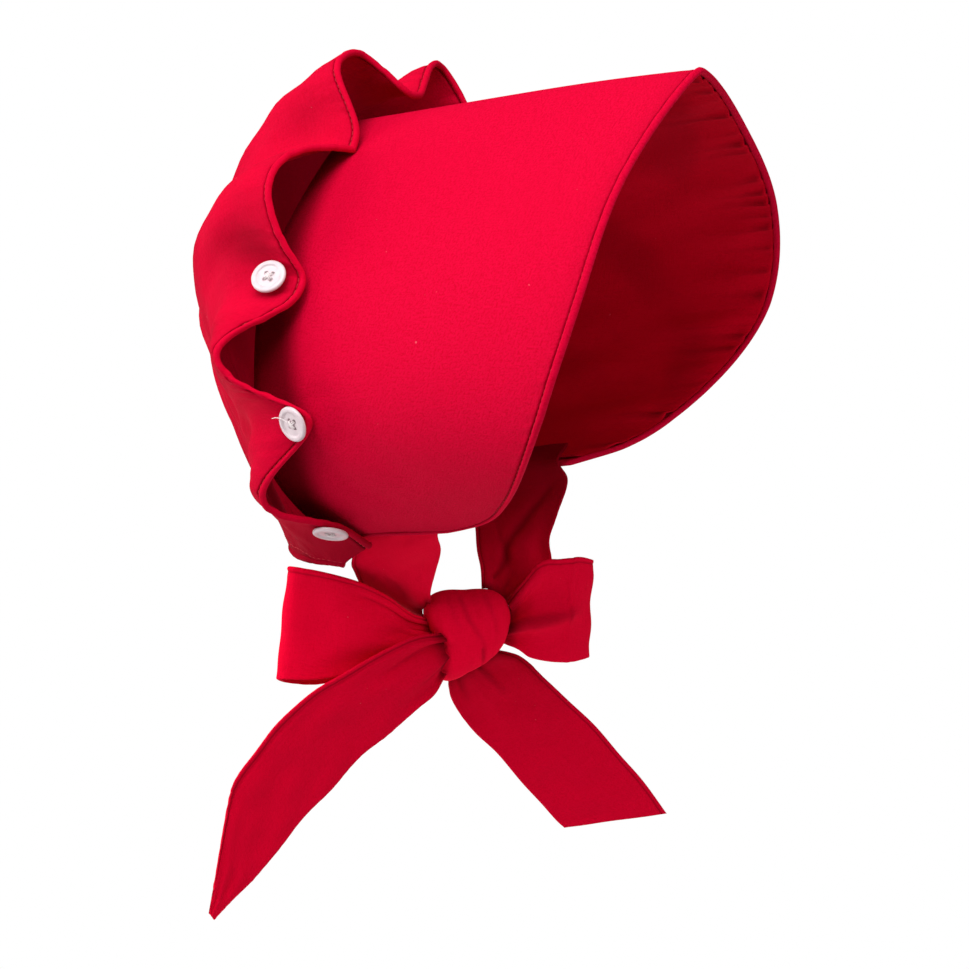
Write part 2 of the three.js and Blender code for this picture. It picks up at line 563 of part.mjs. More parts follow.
/** Points across a ribbon between two edge points, pleated along `toward`. */
function ribbonSection(first, second, pleat, toward) {
  return Array.from({ length: TIE_COLUMNS + 1 }, (_, index) => {
    const share = index / TIE_COLUMNS;
    const depth = pleat * TIE_WIDTH * Math.sin(share * TIE_PLEATS * 2 * Math.PI);
    return first.clone().lerp(second, share).addScaledVector(toward, depth);
  });
}

/** Sections of a ribbon from its table; rows marked `knot` lie against the knot. */
function ribbonSections(table) {
  const front = new THREE.Vector3(0, 1, 0);
  return table.map((row) => {
    const first = new THREE.Vector3(row.x1, row.y1, row.z1).multiplyScalar(TIE_WIDTH);
    const second = new THREE.Vector3(row.x2, row.y2, row.z2).multiplyScalar(TIE_WIDTH);
    const section = ribbonSection(first, second, row.pleat, front);
    const seated = row.knot ? section.map(besideKnot) : section;
    return seated.map((point) => bowPoint(point.x, point.y, point.z));
  });
}

/** Sections of a strap where it is sewn inside the end of the brim; `side` is -1 or 1. */
function sewnSections(side) {
  return [BRIM_HALF_SWEEP - STRAP_OVERLAP_ANGLE, BRIM_HALF_SWEEP].map((angle) =>
    ribbonSection(
      offBrim(side * angle, STRAP_BACK, -STRAP_INSET),
      offBrim(side * angle, STRAP_BACK + STRAP_SEWN_WIDTH, -STRAP_INSET),
      0,
      UP,
    ),
  );
}

/** Solid of a ribbon from its sections. */
function buildRibbon(sections) {
  return clothSolid(sections, sections.map((row) => row.map(() => TIE_WALL)));
}

/** The knot: a pillow with slanting creases where the tie is wrapped round it. */
function buildKnot() {
  const points = [bowPoint(0, KNOT_THICKNESS / 2, 0), bowPoint(0, -KNOT_THICKNESS / 2, 0)];
  for (let j = 1; j < KNOT_ROWS; j += 1) {
    const lean = (j / KNOT_ROWS) * Math.PI;
    for (let i = 0; i < KNOT_COLUMNS; i += 1) {
      const angle = (i / KNOT_COLUMNS) * 360;
      const reach = knotReach(angle, (Math.cos(lean) * KNOT_THICKNESS) / 2);
      const across = reach * Math.cos(angle * DEGREE);
      const up = reach * Math.sin(angle * DEGREE);
      const wave = Math.cos(((across + up * KNOT_CREASE_SLANT) / KNOT_CREASE_SPACING) * 360 * DEGREE);
      const crease = KNOT_CREASE_DEPTH * wave * Math.sin(lean) ** 2;
      const toward = Math.cos(lean) * (KNOT_THICKNESS / 2 - Math.abs(crease));
      points.push(bowPoint(across, toward, up));
    }
  }
  const at = (j, i) => 2 + (j - 1) * KNOT_COLUMNS + (i % KNOT_COLUMNS);
  const triangles = [];
  for (let i = 0; i < KNOT_COLUMNS; i += 1) {
    triangles.push([0, at(1, i), at(1, i + 1)]);
    triangles.push([1, at(KNOT_ROWS - 1, i + 1), at(KNOT_ROWS - 1, i)]);
    for (let j = 1; j < KNOT_ROWS - 1; j += 1) {
      triangles.push([at(j, i), at(j + 1, i), at(j + 1, i + 1)]);
      triangles.push([at(j, i), at(j + 1, i + 1), at(j, i + 1)]);
    }
  }
  return solidFrom(points, triangles);
}

const bonnet = new THREE.Group();
bonnet.name = 'bonnet';

/** Add one named piece with its own finish. */
function addPiece(name, geometry, finish) {
  const mesh = new THREE.Mesh(geometry, new THREE.MeshStandardMaterial(finish));
  mesh.name = name;
  bonnet.add(mesh);
}

const manifold = await ManifoldModule();
manifold.setup();
const button = buttonSolid(manifold);

addPiece('brim_outer', buildBrim(), CLOTH);
addPiece('brim_lining', buildLining(), LINING_CLOTH);
addPiece('crown', buildCrown(), CLOTH);
BUTTONS.forEach((row) => addPiece(row.name, buildButton(button, row), BUTTON_FINISH));
addPiece('tie_strap_right', buildRibbon([...sewnSections(-1), ...ribbonSections(STRAP_RIGHT)]), CLOTH);
addPiece('tie_strap_left', buildRibbon([...sewnSections(1), ...ribbonSections(STRAP_LEFT)]), CLOTH);
addPiece('bow_knot', buildKnot(), CLOTH);
addPiece('bow_loop_right', buildRibbon(ribbonSections(LOOP_RIGHT)), CLOTH);
addPiece('bow_loop_left', buildRibbon(ribbonSections(LOOP_LEFT)), CLOTH);
addPiece('bow_tail_right', buildRibbon(ribbonSections(TAIL_RIGHT)), CLOTH);
addPiece('bow_tail_left', buildRibbon(ribbonSections(TAIL_LEFT)), CLOTH);

export default bonnet;
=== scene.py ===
"""Looks of a red cotton bonnet: a stiff flared brim with its lining, a soft crown with a wavy
piped hem, white buttons, and wide ties in a bow.

All forms are worked out in millimetres in the part's own frame (+X the wearer's left, -Y the
front, +Z up) and become metres only when a mesh is made.
"""
import logging
import math
from dataclasses import dataclass, field
from enum import Enum
from typing import NamedTuple, Sequence

import bpy
import numpy as np
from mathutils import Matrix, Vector


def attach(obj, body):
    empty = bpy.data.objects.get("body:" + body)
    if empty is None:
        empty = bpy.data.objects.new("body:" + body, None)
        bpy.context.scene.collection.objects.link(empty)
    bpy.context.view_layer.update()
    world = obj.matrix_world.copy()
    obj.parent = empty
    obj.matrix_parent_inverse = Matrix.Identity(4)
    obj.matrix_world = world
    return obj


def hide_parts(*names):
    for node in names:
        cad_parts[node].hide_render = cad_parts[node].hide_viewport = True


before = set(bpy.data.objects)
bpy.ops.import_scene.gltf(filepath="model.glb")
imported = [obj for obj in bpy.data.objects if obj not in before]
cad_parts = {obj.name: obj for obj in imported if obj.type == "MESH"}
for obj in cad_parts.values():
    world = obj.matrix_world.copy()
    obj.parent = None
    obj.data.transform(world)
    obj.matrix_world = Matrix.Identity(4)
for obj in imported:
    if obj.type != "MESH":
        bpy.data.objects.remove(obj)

Array = np.ndarray
Colour = tuple[float, float, float]
MM = 0.001
BODY = "root"
UV_NAME = "cut"
# Name of the point attribute that carries the painted shade.
SHADE_NAME = "shade"
LOG = logging.getLogger("bonnet")


class Slot(Enum):
    """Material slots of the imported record."""

    RED_CLOTH = "red_cloth"
    LINING_CLOTH = "lining_cloth"
    BUTTON_WHITE = "button_white"


class Hold(Enum):
    """How a sheet of cloth is held."""

    GATHERED = "gathered"
    STRETCHED = "stretched"
    HUNG = "hung"
    FOLDED = "folded"


# Curves and surfaces.


def along_table(keys: Sequence[float], rows: Sequence, at: Array) -> Array:
    """Values between the rows of a table, along one smooth curve through all of them.

    Between two rows it is the cubic with their values and slopes, where a row's slope is that of
    the line from the row before it to the row after it.

    Args:
        keys: Rising key of each row.
        rows: Values of each row, one or several columns.
        at: Places to read, of any shape.

    Returns:
        Values at those places, with the columns last.
    """
    keys = np.asarray(keys, float)
    rows = np.asarray(rows, float).reshape(len(keys), -1)
    place = np.clip(at, keys[0], keys[-1])
    last = len(keys) - 1
    index = np.clip(np.searchsorted(keys, place, side="right") - 1, 0, last - 1)
    before = np.maximum(np.arange(last + 1) - 1, 0)
    after = np.minimum(np.arange(last + 1) + 1, last)
    slopes = (rows[after] - rows[before]) / (keys[after] - keys[before])[:, None]
    gap = (keys[index + 1] - keys[index])[..., None]
    share = (place - keys[index])[..., None] / gap
    rest = 1 - share
    start = rows[index] * (1 + 2 * share) + slopes[index] * gap * share
    end = rows[index + 1] * (1 + 2 * rest) - slopes[index + 1] * gap * rest
    return start * rest**2 + end * share**2


def column(keys: Sequence[float], values: Sequence[float], at: Array) -> Array:
    """One column of a table at places of any shape."""
    return along_table(keys, values, at)[..., 0]


def unit(vectors: Array) -> Array:
    """Vectors scaled to length one."""
    return vectors / np.maximum(np.linalg.norm(vectors, axis=-1, keepdims=True), 1e-12)


def surface_normals(points: Array) -> Array:
    """Normals of a grid of points: the cross product of its two directions at each of them."""
    return unit(np.cross(np.gradient(points, axis=0), np.gradient(points, axis=1)))


def arc_lengths(points: Array, axis: int) -> Array:
    """Distance run along one direction of a grid of points, from 0 at its start.

    Args:
        points: Grid of points.
        axis: The grid's direction to run along, 0 or 1.

    Returns:
        Sum of the steps up to each point.
    """
    steps = np.linalg.norm(np.diff(points, axis=axis), axis=-1)
    pad = [(0, 0), (0, 0)]
    pad[axis] = (1, 0)
    return np.cumsum(np.pad(steps, pad), axis=axis)


def distance_run(line: Array) -> Array:
    """Distance run along a line of points, from 0 at its first."""
    return np.concatenate([[0], np.cumsum(np.linalg.norm(np.diff(line, axis=0), axis=1))])


def waves(x: Array, y: Array, shortest: float, longest: float, seed: int) -> Array:
    """Smooth uneven field: the mean of cosines of random heading, length and phase.

    Args:
        x: First coordinate in millimetres.
        y: Second coordinate in millimetres.
        shortest: Shortest wave length.
        longest: Longest wave length.
        seed: Seed of the random draw.

    Returns:
        Field with a spread of about one.
    """
    draw = np.random.default_rng(seed)
    count = 14
    heading = draw.uniform(0, 2 * np.pi, count)
    number = 2 * np.pi / draw.uniform(shortest, longest, count)
    phase = draw.uniform(0, 2 * np.pi, count)
    total = np.zeros(np.broadcast(x, y).shape)
    for turn, k, start in zip(heading, number, phase):
        total += np.cos(k * (x * np.cos(turn) + y * np.sin(turn)) + start)
    return total / math.sqrt(count / 2)


@dataclass(frozen=True)
class Uneven:
    """Smooth uneven relief: its height, its shortest and longest wave, and the seed of its draw."""

    height: float
    shortest: float
    longest: float
    seed: int

    def at(self, x: Array, y: Array) -> Array:
        """Relief at places in millimetres."""
        return self.height * waves(x, y, self.shortest, self.longest, self.seed)


def graded(length: float, pitch: float, start: Sequence[float] = (), end: Sequence[float] = ()) -> Array:
    """Places from 0 to length: given fine ones at either end and even ones between.

    Args:
        length: Whole length.
        pitch: Distance between the even places, about.
        start: Fine places at the start, counted from it.
        end: Fine places at the end, counted from it.

    Returns:
        Rising places from 0 to the length.
    """
    low = np.asarray(start if len(start) else (0.0,), float)
    high = length - np.asarray(end if len(end) else (0.0,), float)[::-1]
    count = max(int(round((high[0] - low[-1]) / pitch)), 2)
    return np.concatenate([low[:-1], np.linspace(low[-1], high[0], count + 1), high[1:]])


def creased(x: Array, y: Array, creases: Sequence["Crease"]) -> Array:
    """Depth of soft grooves.

    Each is its depth times exp(-(distance / width) squared), and falls to nothing at its far end
    as one less the fourth power of the share of the way along it.

    Args:
        x: First coordinate in millimetres.
        y: Second coordinate in millimetres.
        creases: The grooves.

    Returns:
        Sum of their depths at each place.
    """
    total = np.zeros(np.broadcast(x, y).shape)
    for crease in creases:
        line = np.asarray(crease.line, float)
        marks = distance_run(line)
        nearest = np.full(total.shape, 1e9)
        along = np.zeros(total.shape)
        for start, end, mark in zip(line[:-1], line[1:], marks):
            run = end - start
            share = ((x - start[0]) * run[0] + (y - start[1]) * run[1]) / (run @ run)
            share = np.clip(share, 0, 1)
            gap = np.hypot(x - start[0] - share * run[0], y - start[1] - share * run[1])
            place = (mark + share * np.linalg.norm(run)) / marks[-1]
            along = np.where(gap < nearest, place, along)
            nearest = np.minimum(nearest, gap)
        total += crease.depth * np.exp(-((nearest / crease.width) ** 2)) * (1 - along**4)
    return total


class Crease(NamedTuple):
    """A soft groove along a line of points, with its depth and half width in millimetres."""

    line: tuple[tuple[float, float], ...]
    depth: float
    width: float


# Meshes.


@dataclass
class Surface:
    """Points, faces and cloth coordinates of a piece, in millimetres, and the painted shade of each
    point, from 0 to 1, which darkens its colour."""

    points: Array
    faces: list[Array]
    cut: Array
    shade: Array | None = None

    def outward(self) -> "Surface":
        """Turn the faces outward, judged by the signed volume that they close in.

        Returns:
            The same surface.
        """
        volume = 0.0
        for group in self.faces:
            for k in range(1, group.shape[1] - 1):
                a, b, c = (self.points[group[:, i]] for i in (0, k, k + 1))
                volume += float((a * np.cross(b, c)).sum())
        if volume < 0:
            self.faces = [group[:, ::-1] for group in self.faces]
        return self


def ramp(value: Array, low: float, high: float) -> Array:
    """Value brought from low..high to 0..1 by 3 share^2 - 2 share^3."""
    share = np.clip((value - low) / (high - low), 0, 1)
    return share**2 * (3 - 2 * share)


def closed_sheet(
    middle: Array, normals: Array, front: Array, back: Array, shades: tuple[Array, Array] | None = None
) -> Surface:
    """Closed sheet of cloth around a grid of points.

    The front face is the grid plus `front` along the normals, the back face the grid minus
    `back`, and a strip round the rim joins the two.

    Args:
        middle: Grid of points, columns by rows by 3.
        normals: Normal at each point.
        front: Height of the front face over the grid.
        back: Depth of the back face under it.
        shades: Painted shade at each point of the front and of the back face.

    Returns:
        The closed surface, with cloth coordinates from the distances run along the grid.
    """
    columns, rows = middle.shape[:2]
    grid = np.arange(columns * rows).reshape(columns, rows)
    other = grid + columns * rows
    quads = [(grid[:-1, :-1], grid[1:, :-1], grid[1:, 1:], grid[:-1, 1:])]
    quads.append((other[:-1, :-1], other[:-1, 1:], other[1:, 1:], other[1:, :-1]))
    faces = [np.stack(q, -1).reshape(-1, 4) for q in quads]
    rim = np.concatenate([grid[:-1, 0], grid[-1, :-1], grid[:0:-1, -1], grid[0, :0:-1]])
    ahead = np.roll(rim, -1)
    shift = columns * rows
    faces.append(np.stack([rim, rim + shift, ahead + shift, ahead], -1))
    over = middle + normals * front[..., None]
    under = middle - normals * back[..., None]
    points = np.concatenate([over.reshape(-1, 3), under.reshape(-1, 3)])
    u = np.repeat(arc_lengths(middle, 0)[:, rows // 2][:, None], rows, axis=1)
    v = arc_lengths(middle, 1)
    cut = np.stack([u, v], -1).reshape(-1, 2)
    shade = None if shades is None else np.concatenate([side.ravel() for side in shades])
    return Surface(points, faces, np.concatenate([cut, cut]), shade).outward()


def swept_tube(path: Array, radius: Array, sides: int = 10) -> Surface:
    """Round thread along a path: circles of the given radii at its points, closed at both ends.

    The circles' own axes come from the direction of the path and the world axis that is most
    across it.

    Args:
        path: Points of the middle line.
        radius: Radius at each of them.
        sides: Sides of each circle.

    Returns:
        The closed tube.
    """
    ahead = unit(np.gradient(path, axis=0))
    helper = np.eye(3)[int(np.argmin(np.abs(ahead.mean(0))))]
    side = unit(np.cross(ahead, helper))
    up = np.cross(side, ahead)
    turn = np.arange(sides) / sides * 2 * np.pi
    ring = side[:, None] * np.cos(turn)[:, None] + up[:, None] * np.sin(turn)[:, None]
    points = (path[:, None] + ring * radius[:, None, None]).reshape(-1, 3)
    points = np.concatenate([points, [path[0], path[-1]]])
    along = np.concatenate([np.repeat(np.linspace(0, 1, len(path)), sides), [0, 1]])
    cut = np.stack([along * 10, np.concatenate([np.tile(turn, len(path)), [0, 0]])], -1)
    return Surface(points, ring_faces(len(path), sides), cut).outward()


def ring_faces(rings: int, sides: int) -> list[Array]:
    """Faces of rings of points one after another, closed by a point before the first ring and
    one after the last, which follow the rings in the list of points.

    Args:
        rings: Number of rings.
        sides: Points in each ring.

    Returns:
        The quads between the rings, and the triangles round both end points.
    """
    index = np.arange(rings * sides).reshape(rings, sides)
    nxt = np.roll(index, -1, axis=1)
    quads = np.stack([index[:-1], nxt[:-1], nxt[1:], index[1:]], -1).reshape(-1, 4)
    first, final = rings * sides, rings * sides + 1
    caps = [
        np.stack([np.full(sides, first), nxt[0], index[0]], -1),
        np.stack([np.full(sides, final), index[-1], nxt[-1]], -1),
    ]
    return [quads, np.concatenate(caps)]


def joined(surfaces: Sequence[Surface]) -> Surface:
    """Several surfaces as one.

    Args:
        surfaces: The surfaces, none with a shade of its own.

    Returns:
        One surface with all their points and faces.
    """
    quads, triangles, shift = [], [], 0
    for surface in surfaces:
        for group in surface.faces:
            (quads if group.shape[1] == 4 else triangles).append(group + shift)
        shift += len(surface.points)
    faces = [np.concatenate(groups) for groups in (quads, triangles) if groups]
    points = np.concatenate([s.points for s in surfaces])
    return Surface(points, faces, np.concatenate([s.cut for s in surfaces]))


def make_piece(name: str, surface: Surface, material: bpy.types.Material) -> bpy.types.Object:
    """Mesh object of a surface, in metres, smooth, with its material, riding on the bonnet.

    Args:
        name: Name of the piece.
        surface: Its surface in millimetres.
        material: Its finish.

    Returns:
        The object.
    """
    mesh = bpy.data.meshes.new(name)
    mesh.vertices.add(len(surface.points))
    mesh.vertices.foreach_set("co", (surface.points * MM).astype(np.float32).ravel())
    corners = np.concatenate([group.ravel() for group in surface.faces]).astype(np.int32)
    sizes = np.concatenate([np.full(len(group), group.shape[1]) for group in surface.faces])
    starts = np.concatenate([[0], np.cumsum(sizes)[:-1]]).astype(np.int32)
    mesh.loops.add(len(corners))
    mesh.loops.foreach_set("vertex_index", corners)
    mesh.polygons.add(len(starts))
    mesh.polygons.foreach_set("loop_start", starts)
    layer = mesh.uv_layers.new(name=UV_NAME)
    layer.data.foreach_set("uv", (surface.cut[corners] * MM).astype(np.float32).ravel())
    # Painted shade: a point attribute that darkens the colour toward the finish's shadowed colour.
    shade = np.zeros(len(surface.points)) if surface.shade is None else np.clip(surface.shade, 0, 1)
    mesh.attributes.new(SHADE_NAME, "FLOAT", "POINT").data.foreach_set("value", shade.astype(np.float32))
    mesh.update(calc_edges=True)
    mesh.validate()
    mesh.shade_smooth()
    mesh.materials.append(material)
    made = bpy.data.objects.new(name, mesh)
    bpy.context.scene.collection.objects.link(made)
    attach(made, BODY)
    LOG.info("%s: %d faces", name, len(starts))
    return made


@dataclass(frozen=True)
class StitchRow:
    """A row of sewn stitches, each a short bent thread that dips into the cloth at both ends."""

    length: float = 2.5
    gap: float = 0.7
    radius: float = 0.2
    arch: float = 0.16
    rings: int = 7
    sides: int = 6

    def surface(self, path: Array, normals: Array) -> Surface:
        """Stitches along a path on the cloth.

        A stitch's middle line follows the path and is raised by arch * (1 - s squared), with s
        from -1 to 1 along it; its radius falls to nothing at both ends as (1 - s^4) ** 0.5.

        Args:
            path: Points on the cloth's face.
            normals: Outward normal at each point.

        Returns:
            All stitches as one surface.
        """
        run = distance_run(path)
        starts = np.arange(self.gap, run[-1] - self.length, self.length + self.gap)
        s = np.sin(np.linspace(-1, 1, self.rings) * np.pi / 2)
        place = starts[:, None] + (s + 1) / 2 * self.length
        at = np.stack([np.interp(place, run, path[:, k]) for k in range(3)], -1)
        up = unit(np.stack([np.interp(place, run, normals[:, k]) for k in range(3)], -1))
        side = unit(np.cross(np.gradient(at, axis=1), up))
        centre = at + up * (self.arch * (1 - s**2) - self.radius * 0.4)[None, :, None]
        size = self.radius * np.sqrt(np.maximum(1 - s**4, 0.02))
        turn = np.arange(self.sides) / self.sides * 2 * np.pi
        ring = side[:, :, None] * np.cos(turn)[:, None] + up[:, :, None] * np.sin(turn)[:, None]
        points = centre[:, :, None] + ring * size[None, :, None, None]
        count, rings, sides = points.shape[:3]
        index = np.arange(count * rings * sides).reshape(count, rings, sides)
        nxt = np.roll(index, -1, axis=2)
        quads = np.stack([index[:, :-1], nxt[:, :-1], nxt[:, 1:], index[:, 1:]], -1).reshape(-1, 4)
        half = sides // 2
        caps = []
        for end, order in ((index[:, 0], 1), (index[:, -1], -1)):
            for k in range(half - 1):
                cap = np.stack([end[:, k], end[:, k + 1], end[:, sides - 2 - k], end[:, sides - 1 - k]], -1)
                caps.append(cap[:, ::-order])
        flat = points.reshape(-1, 3)
        cut = np.stack([np.repeat(place.ravel(), sides), np.tile(turn, count * rings)], -1)
        return Surface(flat, [np.concatenate([quads, *caps])], cut).outward()


EDGE_STITCH = StitchRow(radius=0.17)

# Finishes.


MIX_SHARE = 0
MIX_FIRST = 6
MIX_SECOND = 7
MIX_COLOUR = 2


class Sketch:
    """Short way to place and join shader nodes in one tree."""

    def __init__(self, tree: bpy.types.NodeTree) -> None:
        """Keep the tree to draw in."""
        self.tree = tree

    def node(self, kind: str, inputs: dict | None = None, **settings: object) -> bpy.types.Node:
        """Place one node.

        Args:
            kind: Blender's name of the node.
            inputs: Values or sockets for its inputs, by name or number.
            **settings: Its own settings.

        Returns:
            The node.
        """
        made = self.tree.nodes.new(kind)
        for key, value in settings.items():
            setattr(made, key, value)
        for key, value in (inputs or {}).items():
            if isinstance(value, bpy.types.NodeSocket):
                self.tree.links.new(value, made.inputs[key])
            else:
                made.inputs[key].default_value = value
        return made

    def math(self, operation: str, first: object, second: object = 0.0) -> bpy.types.NodeSocket:
        """Result of one Math node."""
        return self.node("ShaderNodeMath", {0: first, 1: second}, operation=operation).outputs[0]

    def ramp(self, value: object, low: float, high: float) -> bpy.types.NodeSocket:
        """Value brought from low..high to 0..1, smooth at both ends."""
        made = self.node("ShaderNodeMapRange", {0: value, 1: low, 2: high}, interpolation_type="SMOOTHSTEP")
        return made.outputs[0]

    def noise(self, vector: object, scale: float, detail: float = 3.0) -> bpy.types.NodeSocket:
        """Value of a Noise texture."""
        inputs = {"Vector": vector, "Scale": scale, "Detail": detail, "Roughness": 0.6}
        return self.node("ShaderNodeTexNoise", inputs).outputs[0]

    def stretched(self, vector: object, size: tuple[float, float, float]) -> bpy.types.NodeSocket:
        """Vector scaled on each axis."""
        return self.node("ShaderNodeMapping", {"Vector": vector, "Scale": size}).outputs[0]

    def mix(self, share: object, first: object, second: object) -> bpy.types.NodeSocket:
        """Colour between two, by a share.

        Args:
            share: Share of the second colour.
            first: First colour, a value or a socket.
            second: Second colour, a value or a socket.

        Returns:
            Socket of the mixed colour.
        """
        inputs = {MIX_SHARE: share, MIX_FIRST: first, MIX_SECOND: second}
        return self.node("ShaderNodeMix", inputs, data_type="RGBA").outputs[MIX_COLOUR]


def new_group(name: str, inputs: dict[str, str], outputs: dict[str, str]) -> tuple:
    """Empty shader node group with named sockets.

    Args:
        name: Its name.
        inputs: Socket kind by name, of what goes in.
        outputs: Socket kind by name, of what comes out.

    Returns:
        The group, its sketch, its input sockets and its output node.
    """
    group = bpy.data.node_groups.new(name, "ShaderNodeTree")
    for way, sockets in (("INPUT", inputs), ("OUTPUT", outputs)):
        for key, kind in sockets.items():
            group.interface.new_socket(name=key, in_out=way, socket_type=kind)
    sketch = Sketch(group)
    return group, sketch, sketch.node("NodeGroupInput").outputs, sketch.node("NodeGroupOutput")


SLUB_ACROSS = 1500
SLUB_ALONG = 110
CRINKLES_PER_METRE = 900.0
FLECKS_PER_METRE = 330.0


def cloth_group() -> bpy.types.NodeTree:
    """Plain-weave cotton, from the cloth's own coordinates.

    Weave is the product of one sine along the cloth and one across it. Slubs are noise drawn out
    along either thread, crinkle is noise of about a millimetre, and flecks are the rare peaks of a
    broader noise. The colour turns toward the deep colour with the slubs and in the crinkle's dips;
    in the dips that darkening is painted shade in the small creases.

    Returns:
        The node group.
    """
    group, sketch, given, out = new_group(
        "plain weave",
        {
            "Vector": "NodeSocketVector",
            "Threads": "NodeSocketFloat",
            "Crinkle": "NodeSocketFloat",
            "Flecks": "NodeSocketFloat",
            "Bright": "NodeSocketColor",
            "Deep": "NodeSocketColor",
            "Lint": "NodeSocketColor",
        },
        {"Colour": "NodeSocketColor", "Height": "NodeSocketFloat", "Roughness": "NodeSocketFloat"},
    )
    parts = sketch.node("ShaderNodeSeparateXYZ", {0: given["Vector"]}).outputs
    turns = sketch.math("MULTIPLY", given["Threads"], math.pi)
    along = sketch.math("SINE", sketch.math("MULTIPLY", parts[0], turns))
    across = sketch.math("SINE", sketch.math("MULTIPLY", parts[1], turns))
    weave = sketch.math("MULTIPLY", along, across)
    warp = sketch.noise(sketch.stretched(given["Vector"], (SLUB_ACROSS, SLUB_ALONG, 1)), 1.0, 2.0)
    weft = sketch.noise(sketch.stretched(given["Vector"], (SLUB_ALONG, SLUB_ACROSS, 1)), 1.0, 2.0)
    slub = sketch.math("ADD", warp, weft)
    crinkle = sketch.noise(given["Vector"], CRINKLES_PER_METRE, 3.0)
    crinkled = sketch.math("MULTIPLY", sketch.ramp(crinkle, 0.42, 0.68), given["Crinkle"])
    height = sketch.math("ADD", sketch.math("MULTIPLY", weave, 0.12), sketch.math("MULTIPLY", slub, 0.5))
    height = sketch.math("SUBTRACT", height, sketch.math("MULTIPLY", crinkled, 0.9))
    # Tone: the slubs' own darker yarn, and painted shade in the crinkle's dips.
    tone = sketch.math("ADD", sketch.math("MULTIPLY", slub, 0.5), sketch.math("MULTIPLY", crinkled, 0.55))
    colour = sketch.mix(sketch.ramp(tone, 0.35, 1.0), given["Bright"], given["Deep"])
    fleck = sketch.ramp(sketch.noise(given["Vector"], FLECKS_PER_METRE, 1.0), 0.78, 0.84)
    colour = sketch.mix(sketch.math("MULTIPLY", fleck, given["Flecks"]), colour, given["Lint"])
    rough = sketch.math("ADD", 0.72, sketch.math("MULTIPLY", slub, 0.14))
    for key, socket in (("Colour", colour), ("Height", height), ("Roughness", rough)):
        group.links.new(socket, out.inputs[key])
    return group


def handling_group() -> bpy.types.NodeTree:
    """Mask of where handling has dulled a surface, from Object coordinates: broad uneven noise.

    Returns:
        The node group.
    """
    group, sketch, given, out = new_group(
        "handling",
        {"Vector": "NodeSocketVector", "Size": "NodeSocketFloat", "Amount": "NodeSocketFloat"},
        {"Mask": "NodeSocketFloat"},
    )
    scale = sketch.math("DIVIDE", 1.0, given["Size"])
    inputs = {"Vector": given["Vector"], "Scale": scale, "Detail": 3.0, "Roughness": 0.55}
    noise = sketch.node("ShaderNodeTexNoise", inputs).outputs[0]
    mask = sketch.math("MULTIPLY", sketch.ramp(noise, 0.4, 0.7), given["Amount"])
    group.links.new(mask, out.inputs["Mask"])
    return group


def opaque(colour: Colour) -> tuple[float, float, float, float]:
    """Colour with full alpha."""
    return (*colour, 1.0)


@dataclass(frozen=True)
class ClothFinish:
    """Dyed plain-weave cotton, darkened toward its shadowed colour by each point's painted shade."""

    name: str
    bright: Colour
    deep: Colour
    dulled: Colour
    shadowed: Colour = (0.10, 0.0004, 0.003)
    lint: Colour = (0.9, 0.25, 0.3)
    threads: float = 2700.0
    crinkle: float = 0.4
    flecks: float = 0.35
    bump: float = 0.00012
    sheen: float = 0.04
    sheen_roughness: float = 0.45
    sheen_tint: Colour = (1.0, 0.05, 0.12)
    specular: float = 0.1
    specular_tint: Colour = (1.0, 0.04, 0.12)
    handled_size: float = 0.06
    handled_share: float = 0.35

    def build(self, cloth: bpy.types.NodeTree, handling: bpy.types.NodeTree) -> bpy.types.Material:
        """Material of this finish.

        Args:
            cloth: The weave group.
            handling: The handling group.

        Returns:
            The material.
        """
        material = bpy.data.materials.new(self.name)
        material.use_nodes = True
        sketch = Sketch(material.node_tree)
        shader = material.node_tree.nodes["Principled BSDF"]
        cut = sketch.node("ShaderNodeUVMap", uv_map=UV_NAME).outputs[0]
        place = sketch.node("ShaderNodeTexCoord").outputs["Object"]
        inputs = {
            "Vector": cut,
            "Threads": self.threads,
            "Crinkle": self.crinkle,
            "Flecks": self.flecks,
            "Bright": opaque(self.bright),
            "Deep": opaque(self.deep),
            "Lint": opaque(self.lint),
        }
        weave = sketch.node("ShaderNodeGroup", inputs, node_tree=cloth)
        worn = {"Vector": place, "Size": self.handled_size, "Amount": self.handled_share}
        dull = sketch.node("ShaderNodeGroup", worn, node_tree=handling)
        colour = sketch.mix(dull.outputs["Mask"], weave.outputs["Colour"], opaque(self.dulled))
        # Painted shade: the shade attribute darkens the colour toward the shadowed colour.
        shade = sketch.node("ShaderNodeAttribute", attribute_name=SHADE_NAME).outputs["Fac"]
        colour = sketch.mix(shade, colour, opaque(self.shadowed))
        bump = sketch.node("ShaderNodeBump", {"Height": weave.outputs["Height"], "Distance": self.bump})
        sketch.tree.links.new(colour, shader.inputs["Base Color"])
        sketch.tree.links.new(weave.outputs["Roughness"], shader.inputs["Roughness"])
        sketch.tree.links.new(bump.outputs[0], shader.inputs["Normal"])
        shader.inputs["Specular IOR Level"].default_value = self.specular
        shader.inputs["Specular Tint"].default_value = opaque(self.specular_tint)
        shader.inputs["Sheen Weight"].default_value = self.sheen
        shader.inputs["Sheen Roughness"].default_value = self.sheen_roughness
        shader.inputs["Sheen Tint"].default_value = opaque(self.sheen_tint)
        return material


